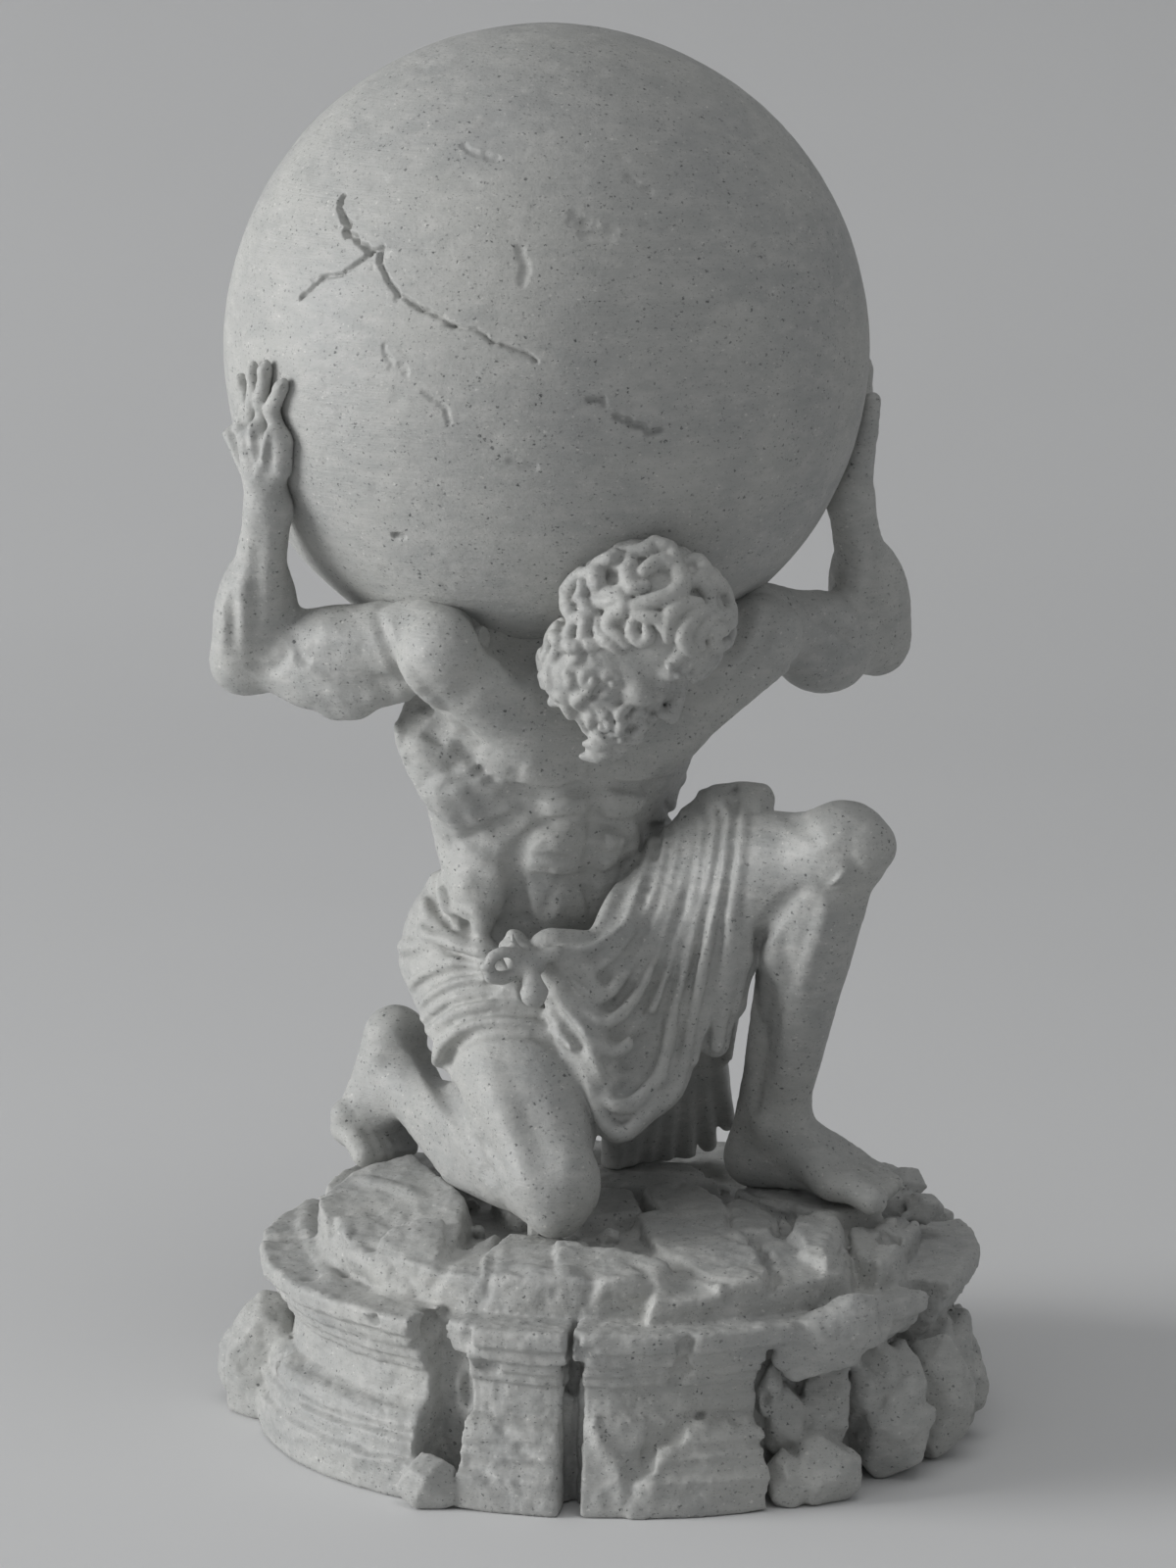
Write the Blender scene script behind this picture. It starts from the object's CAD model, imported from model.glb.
"""Atlas statuette: the stone-effect surfaces of a kneeling man who carries a globe on a ruined pedestal.

The sculpting code works in millimetres in the CAD frame: +Z up, the front is -Y, left and right are the
man's own. Meshes are made in metres. A form is a lattice of signed distances, and its skin is cut into
one mesh for each cast piece, so that the seams between the pieces of one pour don't show.
"""
import itertools
import math

import bpy
import bmesh
import numpy as np
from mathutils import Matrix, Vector


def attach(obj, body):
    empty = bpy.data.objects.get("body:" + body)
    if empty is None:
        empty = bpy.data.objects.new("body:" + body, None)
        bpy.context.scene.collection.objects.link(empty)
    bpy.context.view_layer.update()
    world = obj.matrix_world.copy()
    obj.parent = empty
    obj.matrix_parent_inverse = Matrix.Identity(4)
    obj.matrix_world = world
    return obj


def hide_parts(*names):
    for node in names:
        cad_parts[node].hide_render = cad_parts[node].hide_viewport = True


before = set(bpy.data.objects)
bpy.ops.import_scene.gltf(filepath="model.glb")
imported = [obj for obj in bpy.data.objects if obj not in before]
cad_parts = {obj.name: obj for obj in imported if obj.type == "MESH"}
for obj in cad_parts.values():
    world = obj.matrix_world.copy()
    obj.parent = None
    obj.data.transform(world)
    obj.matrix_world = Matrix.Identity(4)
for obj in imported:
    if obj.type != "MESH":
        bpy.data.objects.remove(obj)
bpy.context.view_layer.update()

MM = 0.001
GROUND = 33.0
GLOBE_RADIUS = 46.0
BODY_CELL = 0.36
HEAD_CELL = 0.25
STONE_CELL = 0.42
FAR = 9.0  # the distance that stands for empty space
SNAP_ROUNDS = 8
GOLDEN_ANGLE = math.pi * (3 - math.sqrt(5))


def vec(*p):
    return np.array(p, float)


# The camera: its place, its downward tilt, and the view's size and focal length in points of the view
EYE = vec(-4.5, -960, 279)
EYE_PITCH = math.radians(10.98)
VIEW_WIDTH, VIEW_HEIGHT = 1200, 1600
FOCAL = 7030


def sight(u, v):
    """The direction from the camera through a point of the view."""
    across, down = (u - VIEW_WIDTH / 2) / FOCAL, (v - VIEW_HEIGHT / 2) / FOCAL
    level, drop = math.cos(EYE_PITCH), math.sin(EYE_PITCH)
    way = vec(across, level - down * drop, -drop - down * level)
    return way / np.linalg.norm(way)


def at(x, y, h):
    """A point by its height above the ground that the man kneels on."""
    return vec(x, y, GROUND + h)


def mix(a, b, t):
    return a + (b - a) * t


def unit(a, b):
    return (b - a) / np.linalg.norm(b - a)


def ease(t):
    return t * t * (3 - 2 * t)


def frame_of(up, left):
    """Rows: left, front and up of a part of the body."""
    u = up / np.linalg.norm(up)
    l = left - u * (left @ u)
    l = l / np.linalg.norm(l)
    return np.array([l, np.cross(l, u), u])


def spot(origin, axes, l, f, u):
    return origin + vec(l, f, u) @ axes


# Shapes: each has a box and a signed distance, negative inside


class Rod:
    """A tapered rod with round ends."""

    def __init__(self, a, b, ra, rb=None):
        rb = ra if rb is None else rb
        self.a = [float(c) for c in a]
        self.along = [float(c) for c in b - a]
        self.ra, self.rb = float(ra), float(rb)
        self.low = np.minimum(a, b) - max(ra, rb)
        self.high = np.maximum(a, b) + max(ra, rb)

    def distance(self, x, y, z):
        px, py, pz = x - self.a[0], y - self.a[1], z - self.a[2]
        ax, ay, az = self.along
        length2 = max(ax * ax + ay * ay + az * az, 1e-6)
        t = np.clip((px * ax + py * ay + pz * az) / length2, 0, 1)
        px, py, pz = px - ax * t, py - ay * t, pz - az * t
        return np.sqrt(px * px + py * py + pz * pz) - (self.ra + (self.rb - self.ra) * t)


class Egg:
    """An ellipsoid with its axes along a frame."""

    def __init__(self, centre, axes, *radii):
        self.centre = [float(c) for c in centre]
        self.axes = [[float(c) for c in row] for row in axes]
        self.radii = [float(r) for r in radii]
        reach = np.sqrt(((np.array(axes) * np.array(radii)[:, None]) ** 2).sum(0))
        self.low, self.high = centre - reach, centre + reach

    def distance(self, x, y, z):
        px, py, pz = (q - c for q, c in zip((x, y, z), self.centre))
        near, steep = 0.0, 0.0
        for (ax, ay, az), r in zip(self.axes, self.radii):
            q = ((px * ax + py * ay + pz * az) / r) ** 2
            near = near + q
            steep = steep + q / (r * r)
        near = np.sqrt(np.maximum(near, 1e-6))
        steep = np.sqrt(np.maximum(steep, 1e-6 / max(self.radii) ** 2))
        return near * (near - 1) / steep


class Rope:
    """Rods end to end, with a radius at each point."""

    def __init__(self, points, radii):
        points = np.asarray(points, float)
        given = np.linspace(0, 1, np.size(radii))
        radii = np.interp(np.linspace(0, 1, len(points)), given, np.atleast_1d(radii))
        self.rods = [Rod(*pair) for pair in zip(points, points[1:], radii, radii[1:])]
        self.low = np.min([r.low for r in self.rods], 0)
        self.high = np.max([r.high for r in self.rods], 0)

    def distance(self, x, y, z):
        d = self.rods[0].distance(x, y, z)
        for rod in self.rods[1:]:
            d = np.minimum(d, rod.distance(x, y, z))
        return d


class Slab:
    """A convex stone: an outline seen from above, a tilted top and slanting sides, within a round rim."""

    def __init__(self, outline, top, tilt, rim, slant=0.25, edge=0.9):
        depth = 8
        self.rim = rim
        outline = np.asarray(outline, float)
        middle = outline.mean(0)
        self.planes = []
        for p, q in zip(outline, np.roll(outline, -1, 0)):
            nx, ny = q[1] - p[1], p[0] - q[0]
            n = math.hypot(nx, ny)
            nx, ny = nx / n, ny / n
            if (p - middle) @ (nx, ny) < 0:
                nx, ny = -nx, -ny
            self.planes.append((nx, ny, slant, nx * p[0] + ny * p[1] + slant * top))
        self.planes.append((-tilt[0], -tilt[1], 1, top - tilt[0] * middle[0] - tilt[1] * middle[1]))
        self.planes.append((0, 0, -1, depth - top))
        self.edge = edge
        reach = abs(tilt[0]) * np.ptp(outline[:, 0]) + abs(tilt[1]) * np.ptp(outline[:, 1])
        self.low = np.append(outline.min(0) - slant * depth, top - depth)
        self.high = np.append(outline.max(0), top + reach)

    def distance(self, x, y, z):
        d = None
        for nx, ny, nz, c in self.planes:
            e = (nx * x + ny * y + nz * z - c) / math.sqrt(nx * nx + ny * ny + nz * nz)
            d = e if d is None else -melt(-d, -e, self.edge)
        return -melt(-d, self.rim - np.sqrt(x * x + y * y), self.edge)


class Wall:
    """A block of the round wall: a moulded profile from one angle to another, in degrees from +X."""

    def __init__(self, profile, start, end, inner):
        self.radius, self.height = np.array(profile, float).T
        self.middle = math.radians((start + end) / 2)
        self.half = math.radians((end - start) / 2)
        self.inner = inner
        a = np.radians(np.linspace(start, end, 9))
        rim = self.radius.max() * np.array([np.cos(a), np.sin(a)])
        core = inner * np.array([np.cos(a), np.sin(a)])
        both = np.hstack([rim, core])
        self.low = np.append(both.min(1), self.height.min()) - 0.5
        self.high = np.append(both.max(1), self.height.max()) + 0.5

    def distance(self, x, y, z):
        r = np.sqrt(x * x + y * y)
        turn = np.arctan2(y, x) - self.middle
        turn = np.abs((turn + math.pi) % (2 * math.pi) - math.pi)
        outside = r - np.interp(z, self.height, self.radius).astype(np.float32)
        d = np.maximum(outside, self.inner - r)
        d = np.maximum(d, (turn - self.half) * r)
        return np.maximum(d, np.maximum(self.height[0] - z, z - self.height[-1]))


def melt(d, e, soft):
    """The union of two distances, with a fillet."""
    if soft <= 0:
        return np.minimum(d, e)
    h = np.maximum(soft - np.abs(d - e), 0)
    return np.minimum(d, e) - h * h / (4 * soft)


def values_noise(points, scale, seed):
    """Smooth random values between -1 and 1 at points, with features of a size."""
    table = np.random.default_rng(seed).uniform(-1, 1, (32, 32, 32)).astype(np.float32)
    cell = np.floor(points / scale)
    t = ease((points / scale - cell).astype(np.float32))
    cell = cell.astype(np.int64)
    total = np.zeros(len(points), np.float32)
    for corner in itertools.product((0, 1), repeat=3):
        i = (cell + corner) % 32
        weight = np.prod(np.where(corner, t, 1 - t), axis=1)
        total += weight * table[i[:, 0], i[:, 1], i[:, 2]]
    return total


class Lattice:
    """Signed distances on a grid of cubes. Owners tell which piece each part of the skin belongs to."""

    def __init__(self, low, high, cell, origin=(0, 0, 0)):
        self.cell = cell
        self.first = np.floor((np.array(low) - origin) / cell).astype(int)
        self.count = np.ceil((np.array(high) - np.array(low)) / cell).astype(int) + 2
        self.low = np.array(origin) + self.first * cell
        self.field = np.full(self.count, FAR, np.float32)
        self.claim = np.full(self.count, FAR, np.float32)
        self.owner = np.zeros(self.count, np.int8)
        self.names = []
        self.warp = None

    def window(self, low, high):
        first = np.clip(np.floor((low - self.low) / self.cell).astype(int), 0, self.count)
        last = np.clip(np.ceil((high - self.low) / self.cell).astype(int) + 1, 0, self.count)
        cut = tuple(slice(a, b) for a, b in zip(first, last))
        axes = []
        for i in range(3):
            shape = [1, 1, 1]
            shape[i] = -1
            line = self.low[i] + self.cell * np.arange(first[i], last[i])
            axes.append(line.astype(np.float32).reshape(shape))
        if self.warp is not None:
            axes = [a + w[cut] for a, w in zip(axes, self.warp)]
        return cut, axes

    def add(self, shape, soft, owner=None):
        cut, axes = self.window(shape.low - soft - 2, shape.high + soft + 2)
        d = shape.distance(*axes)
        if owner is not None:
            self.own(cut, d, owner)
        self.field[cut] = melt(self.field[cut], d, soft)

    def own(self, cut, d, owner):
        if owner not in self.names:
            self.names.append(owner)
        closer = d < self.claim[cut]
        self.claim[cut] = np.where(closer, d, self.claim[cut])
        self.owner[cut] = np.where(closer, self.names.index(owner), self.owner[cut])

    def carve(self, shape, soft, grow=0.0):
        cut, axes = self.window(shape.low - soft - grow - 1, shape.high + soft + grow + 1)
        d = shape.distance(*axes) - grow
        self.field[cut] = -melt(-self.field[cut], d, soft)

    def part(self, low, high):
        """An empty lattice on the same grid."""
        return Lattice(low, high, self.cell, self.low)

    def sample(self, points):
        """Distance and gradient at points."""
        q = (points - self.low) / self.cell
        cell = np.clip(np.floor(q).astype(int), 1, self.count - 3)
        t = q - cell
        total = np.zeros(len(points))
        slope = np.zeros((len(points), 3))
        for corner in itertools.product((0, 1), repeat=3):
            i = cell + corner
            v = self.field[i[:, 0], i[:, 1], i[:, 2]]
            parts = np.where(corner, t, 1 - t)
            total += v * parts.prod(1)
            for k in range(3):
                rest = np.delete(parts, k, 1).prod(1)
                slope[:, k] += v * rest * (1 if corner[k] else -1) / self.cell
        return total, slope

    def snap(self, points, lift=0.0):
        """Guide points moved along the gradient until they stand at a height over the skin."""
        p = np.array(points, float)
        for _ in range(SNAP_ROUNDS):
            d, slope = self.sample(p)
            steep = np.maximum((slope**2).sum(1), 0.3)
            p -= slope * np.clip((d - lift) / steep, -1.5, 1.5)[:, None]
        return p

    def ridge(self, points, radius, height, soft, owner):
        """A raised cord that follows the skin."""
        self.add(Rope(self.snap(curve(points), height - radius), radius), soft, owner)

    def groove(self, points, radius, depth):
        """A furrow that follows the skin and narrows at its ends."""
        line = self.snap(curve(points), radius - depth)
        radii = np.full(len(line), radius)
        radii[[0, -1]] = radius * 0.4
        self.carve(Rope(line, radii), 0.8)

    def hit(self, u, v):
        """The point of the skin that the camera sees at a point of the view, or else the nearest pass."""
        way = sight(u, v)
        size = self.cell * self.count
        far, reach = np.linalg.norm(self.low + size / 2 - EYE), np.linalg.norm(size) / 2
        points = EYE + way * np.arange(far - reach, far + reach, self.cell)[:, None]
        i = np.round((points - self.low) / self.cell).astype(int)
        inside = ((i >= 0) & (i < self.count)).all(1)
        i = np.clip(i, 0, self.count - 1)
        d = np.where(inside, self.field[i[:, 0], i[:, 1], i[:, 2]], FAR)
        if d.min() >= 0:
            return points[d.argmin()]
        k = max(int(np.argmax(d < 0)), 1)
        return mix(points[k - 1], points[k], d[k - 1] / (d[k - 1] - d[k]))

    def stroke(self, line, width, height, sharp=False):
        """Swells the skin along a line, or sinks it where the height is negative. The ends fade out."""
        line = np.asarray(line, float)
        along = np.linspace(0, 1, len(line))
        force = np.clip(np.minimum(along, 1 - along) * 4 + 0.12, 0, 1)
        cut, axes = self.window(line.min(0) - width, line.max(0) + width)
        first = np.array([s.start for s in cut])
        near = np.full(self.field[cut].shape, width, np.float32)
        share = np.zeros(near.shape, np.float32)
        for a, b, fa, fb in zip(line, line[1:], force, force[1:]):
            low = np.floor((np.minimum(a, b) - width - self.low) / self.cell).astype(int) - first
            high = np.ceil((np.maximum(a, b) + width - self.low) / self.cell).astype(int) + 1 - first
            low, high = np.clip(low, 0, near.shape), np.clip(high, 0, near.shape)
            if (high <= low).any():
                continue
            part = tuple(slice(p, q) for p, q in zip(low, high))
            span = b - a
            off = [np.take(axes[k], range(low[k], high[k]), k) - a[k] for k in range(3)]
            t = sum(o * s for o, s in zip(off, span)) / max(span @ span, 1e-6)
            t = np.clip(t, 0, 1)
            d = np.sqrt(sum((o - s * t) ** 2 for o, s in zip(off, span)))
            closer = d < near[part]
            near[part] = np.where(closer, d, near[part])
            share[part] = np.where(closer, fa + (fb - fa) * t, share[part])
        x = near / width
        self.field[cut] -= height * share * ((1 - x) ** 1.5 if sharp else (1 - x * x) ** 2)

    def sculpt(self, marks, lead=()):
        """Strokes by points of the view: line, width, height and whether it is sharp. They may start with a
        lead out of sight, as steps from the first point that are laid on the skin."""
        for line, width, height, *sharp in marks:
            seen = [self.hit(*p) for p in curve(line, 4)]
            hidden = [seen[0] + vec(*step) for step in lead]
            if hidden:
                hidden = list(self.snap(curve(hidden, 4)))
            self.stroke(hidden + seen, width, height, bool(sharp and sharp[0]))

    def skin(self):
        """Vertices, squares and each square's owner, with one vertex in every cell that the skin crosses."""
        inside = self.field < 0
        n = self.count - 1
        corners = list(itertools.product((0, 1), repeat=3))
        total = np.zeros(n, np.int8)
        for a, b, c in corners:
            total += inside[a : a + n[0], b : b + n[1], c : c + n[2]]
        active = (total > 0) & (total < 8)
        cells = np.argwhere(active)
        index = np.full(n, -1, np.int32)
        index[active] = np.arange(len(cells))
        v = np.stack([self.field[tuple((cells + c).T)] for c in corners], 1)
        place = np.zeros((len(cells), 3))
        hits = np.zeros(len(cells))
        for i, j in itertools.combinations(range(8), 2):
            a, b = np.array(corners[i]), np.array(corners[j])
            if np.abs(a - b).sum() != 1:
                continue
            cross = (v[:, i] < 0) != (v[:, j] < 0)
            t = np.where(cross, v[:, i] / np.where(cross, v[:, i] - v[:, j], 1), 0)
            place += np.where(cross[:, None], a + (b - a) * t[:, None], 0)
            hits += cross
        points = self.low + (cells + place / hits[:, None]) * self.cell
        squares, labels = [], []
        for axis in range(3):
            one = np.eye(3, dtype=int)[axis]
            first = np.argwhere(inside[tuple(slice(0, c - o) for c, o in zip(self.count, one))]
                                != inside[tuple(slice(o, None) for o in one)])
            keep = (first[:, [k for k in range(3) if k != axis]] > 0).all(1)
            first = first[keep & (first < n).all(1)]
            u, w = np.eye(3, dtype=int)[(axis + 1) % 3], np.eye(3, dtype=int)[(axis + 2) % 3]
            ring = [index[tuple((first - s * u - t * w).T)] for s, t in ((1, 1), (0, 1), (0, 0), (1, 0))]
            ring = np.stack(ring, 1)
            here = inside[tuple(first.T)]
            ring = np.where(here[:, None], ring, ring[:, ::-1])
            squares.append(ring)
            labels.append(self.owner[tuple(np.where(here[:, None], first, first + one).T)])
        return points, np.vstack(squares), np.concatenate(labels)


def curve(points, steps=6):
    """A smooth line through points."""
    p = np.asarray(points, float)
    if len(p) < 3:
        return np.array([mix(p[0], p[-1], t) for t in np.linspace(0, 1, steps)])
    ends = np.vstack([2 * p[0] - p[1], p, 2 * p[-1] - p[-2]])
    out = []
    for a, b, c, d in zip(ends, ends[1:], ends[2:], ends[3:]):
        for t in np.linspace(0, 1, steps, endpoint=False):
            square, cube = 2 * a - 5 * b + 4 * c - d, 3 * b - a - 3 * c + d
            out.append(0.5 * (2 * b + (c - a) * t + square * t**2 + cube * t**3))
    out.append(p[-1])
    return np.array(out)


def vertex_normals(points, squares):
    a, b, c, d = (points[squares[:, k]] for k in range(4))
    facing = np.cross(c - a, d - b)
    total = np.zeros_like(points)
    for k in range(4):
        for axis in range(3):
            total[:, axis] += np.bincount(squares[:, k], facing[:, axis], len(points))
    return total / np.maximum(np.linalg.norm(total, axis=1), 1e-9)[:, None]


def relax(points, squares):
    """Evens out the steps of the lattice: each point moves halfway to the middle of its neighbours."""
    n = len(points)
    a = np.concatenate([squares[:, k] for k in range(4)])
    b = np.concatenate([squares[:, (k + 1) % 4] for k in range(4)])
    weight = np.bincount(a, minlength=n) + np.bincount(b, minlength=n)
    total = np.zeros_like(points)
    for axis in range(3):
        total[:, axis] = np.bincount(a, points[b, axis], n) + np.bincount(b, points[a, axis], n)
    return mix(points, total / weight[:, None], 0.5)


def dress(mesh, node):
    """Puts a finished mesh in the scene, in place of a CAD node."""
    mesh.materials.append(stone)
    piece = bpy.data.objects.new(mesh.name, mesh)
    bpy.context.scene.collection.objects.link(piece)
    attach(piece, "root")
    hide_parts(node)


def mesh_piece(node, points, squares, normals):
    mesh = bpy.data.meshes.new("stone_" + node)
    mesh.vertices.add(len(points))
    mesh.vertices.foreach_set("co", (points * MM).astype(np.float32).ravel())
    mesh.loops.add(squares.size)
    mesh.loops.foreach_set("vertex_index", squares.astype(np.int32).ravel())
    mesh.polygons.add(len(squares))
    mesh.polygons.foreach_set("loop_start", np.arange(0, squares.size, 4, dtype=np.int32))
    mesh.update(calc_edges=True)
    mesh.validate()
    mesh.shade_smooth()
    mesh.normals_split_custom_set_from_vertices(normals.tolist())
    dress(mesh, node)


def cast(lattice, grain):
    """One mesh for each owner of a lattice's skin, with shared normals along their borders."""
    points, squares, labels = lattice.skin()
    points = relax(points, squares)
    points = points + vertex_normals(points, squares) * grain(points)[:, None]
    normals = vertex_normals(points, squares)
    for label, name in enumerate(lattice.names):
        own = squares[labels == label]
        if len(own) == 0:
            continue
        used, renamed = np.unique(own, return_inverse=True)
        mesh_piece(name, points[used], renamed.reshape(own.shape), normals[used])


# Materials


def stone_material(name, speck_amount=1.0):
    """Cast stone effect: mottled grey, dark and pale grains, fine pits and faint layers."""
    material = bpy.data.materials.new(name)
    material.use_nodes = True
    nodes, links = material.node_tree.nodes, material.node_tree.links
    shader = nodes["Principled BSDF"]
    shader.inputs["Roughness"].default_value = 0.55
    shader.inputs["Specular IOR Level"].default_value = 0.4
    place = nodes.new("ShaderNodeTexCoord").outputs["Object"]

    def node(kind, **inputs):
        made = nodes.new(kind)
        for key, value in inputs.items():
            socket = made.inputs[key.replace("_", " ")]
            if isinstance(value, bpy.types.NodeSocket):
                links.new(value, socket)
            else:
                socket.default_value = value
        return made

    def noise(scale, detail=2.0, rough=0.5, stretch=(1, 1, 1)):
        moved = node("ShaderNodeMapping", Vector=place, Scale=stretch)
        return node("ShaderNodeTexNoise", Vector=moved.outputs[0], Scale=scale,
                    Detail=detail, Roughness=rough)

    def ramp(value, low, high, start=0.0, end=1.0):
        made = node("ShaderNodeMapRange", Value=value)
        made.inputs["From Min"].default_value = low
        made.inputs["From Max"].default_value = high
        made.inputs["To Min"].default_value = start
        made.inputs["To Max"].default_value = end
        return made.outputs[0]

    def blend(factor, a, b):
        made = nodes.new("ShaderNodeMix")
        made.data_type = "RGBA"
        for socket, value in ((made.inputs[0], factor), (made.inputs[6], a), (made.inputs[7], b)):
            if isinstance(value, bpy.types.NodeSocket):
                links.new(value, socket)
            else:
                socket.default_value = value
        return made.outputs[2]

    mottle = noise(55, 3).outputs[0]
    base = blend(ramp(mottle, 0.35, 0.65), (0.395, 0.40, 0.393, 1), (0.465, 0.468, 0.45, 1))
    cloud = noise(260, 4, 0.6, (1, 1, 2.2)).outputs[0]
    base = blend(ramp(cloud, 0.45, 0.72, 0, 0.5), base, (0.57, 0.565, 0.545, 1))
    stain = noise(95, 4, 0.65, (1, 1, 2.6)).outputs[0]
    base = blend(ramp(stain, 0.5, 0.78, 0, 0.42), base, (0.27, 0.285, 0.285, 1))
    layers = noise(1, 2, 0.6, (60, 60, 5200)).outputs[0]
    base = blend(ramp(layers, 0.35, 0.7, 0, 0.08), base, (0.30, 0.31, 0.31, 1))

    def specks(base, scale, share, low, high, colour, squash):
        """Grains: a share of the texture's cells, each with its own strength."""
        ragged = node("ShaderNodeVectorMath", Vector=noise(2600, 1).outputs[1])
        ragged.operation = "SCALE"
        ragged.inputs["Scale"].default_value = 0.0007
        shifted = node("ShaderNodeVectorMath", Vector=place)
        links.new(ragged.outputs[0], shifted.inputs[1])
        stretched = node("ShaderNodeMapping", Vector=shifted.outputs[0], Scale=(1, 1, squash))
        grains = node("ShaderNodeTexVoronoi", Vector=stretched.outputs[0], Scale=scale, Randomness=1.0)
        chosen = node("ShaderNodeSeparateColor", Color=grains.outputs["Color"])
        reach = node("ShaderNodeMath", Value=grains.outputs["Distance"])
        reach.operation = "MULTIPLY"
        links.new(ramp(chosen.outputs[2], 0, 1, 0.9, 2.6), reach.inputs[1])
        near = node("ShaderNodeMath", Value=ramp(reach.outputs[0], 0.2, 0.4, 1, 0))
        near.operation = "MULTIPLY"
        links.new(ramp(chosen.outputs[0], 1 - share, 1 - share + 0.02, 0, 1), near.inputs[1])
        strength = node("ShaderNodeMath", Value=near.outputs[0])
        strength.operation = "MULTIPLY"
        links.new(ramp(chosen.outputs[1], 0, 1, low * speck_amount, high * speck_amount), strength.inputs[1])
        return blend(strength.outputs[0], base, colour)

    base = specks(base, 1900, 0.95, 0.05, 0.6, (0.11, 0.115, 0.11, 1), 1.6)
    base = specks(base, 1350, 0.7, 0.15, 0.85, (0.06, 0.065, 0.065, 1), 1.3)
    base = specks(base, 1300, 0.3, 0.1, 0.6, (0.72, 0.71, 0.68, 1), 1.5)
    links.new(base, shader.inputs["Base Color"])
    fine = noise(1500, 2, 0.7).outputs[0]
    pits = noise(420, 3, 0.6, (1, 1, 1.8)).outputs[0]
    steps = noise(1, 1, 0.5, (25, 25, 4300)).outputs[0]
    bump_fine = node("ShaderNodeBump", Height=fine, Strength=0.22, Distance=0.00025)
    bump_pits = node("ShaderNodeBump", Height=pits, Strength=0.25, Distance=0.0006,
                     Normal=bump_fine.outputs[0])
    bump = node("ShaderNodeBump", Height=steps, Strength=0.22, Distance=0.0002, Normal=bump_pits.outputs[0])
    links.new(bump.outputs[0], shader.inputs["Normal"])
    links.new(ramp(mottle, 0.3, 0.7, 0.5, 0.62), shader.inputs["Roughness"])
    return material


stone = stone_material("stone_effect_cast")

# Joints of the man, by height above the ground that he kneels on
hip_r, hip_l = at(-19.3, 9, 34.4), at(-1.5, 14, 35.5)
knee_r, knee_l = at(-9.5, -21, 7.3), at(30.8, -15, 53.4)
ankle_r, ankle_l = at(-31, 16, 12.4), at(23, 2.5, 10)
shoulder_r, shoulder_l = at(-25, -12, 82.3), at(18.5, 4, 81.3)
elbow_r, elbow_l = at(-53, 3, 77), at(37.4, 31, 74.9)
head_mid = at(2.5, -21, 84)
pelvis = mix(hip_r, hip_l, 0.5)
collar = mix(shoulder_r, shoulder_l, 0.5)
waist = mix(pelvis, collar, 0.33) + vec(0, -0.8, 0)
chest = mix(pelvis, collar, 0.66)
trunk = frame_of(collar - pelvis, vec(0.937, 0.35, 0))
hips = frame_of(collar - pelvis, unit(hip_r, hip_l))
head_turn = frame_of(vec(0.641, -0.233, 0.731), vec(0.342, 0.94, 0))
globe_seat = at(-4.1, -8.5, 81.6)
globe_lean = unit(vec(0, 0, 0), vec(-0.137, 0.532, 0.836))
globe = globe_seat + globe_lean * GLOBE_RADIUS
ball = Egg(globe, np.eye(3), GLOBE_RADIUS, GLOBE_RADIUS, GLOBE_RADIUS)
skull_base = spot(head_mid, head_turn, 0, -3, -5)


def on_globe(x, y, z, lift):
    p = vec(x, y, z)
    return globe + p / np.linalg.norm(p) * (GLOBE_RADIUS + lift)


def on_chest(l, f, u):
    return spot(chest, trunk, l, f, u)


def on_head(l, f, u):
    return spot(head_mid, head_turn, l, f, u)


def seen(u, v, y):
    """The point where the view through (u, v) crosses a plane at depth y."""
    way = sight(u, v)
    return EYE + way * ((y - EYE[1]) / way[1])


def on_ball(u, v, lift=0):
    """The point of the globe that is seen at (u, v)."""
    way, offset = sight(u, v), EYE - globe
    b = offset @ way
    c = offset @ offset - (GLOBE_RADIUS + lift) ** 2
    return EYE + way * (-b - math.sqrt(max(b * b - c, 0)))


wrist_r, wrist_l = on_globe(-38.8, -23.4, -19.8, 3.4), on_globe(43.7, 3.9, -22.8, 3.4)
palm_r, palm_l = on_globe(-40.3, -24.5, -10.6, 1.9), on_globe(44.9, 9.7, -14.8, 1.9)

man = Lattice(vec(-62, -44, 31), vec(54, 40, 161), BODY_CELL)


def part_around(points, margin):
    p = np.array(points)
    return man.part(p.min(0) - margin, p.max(0) + margin)


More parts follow.
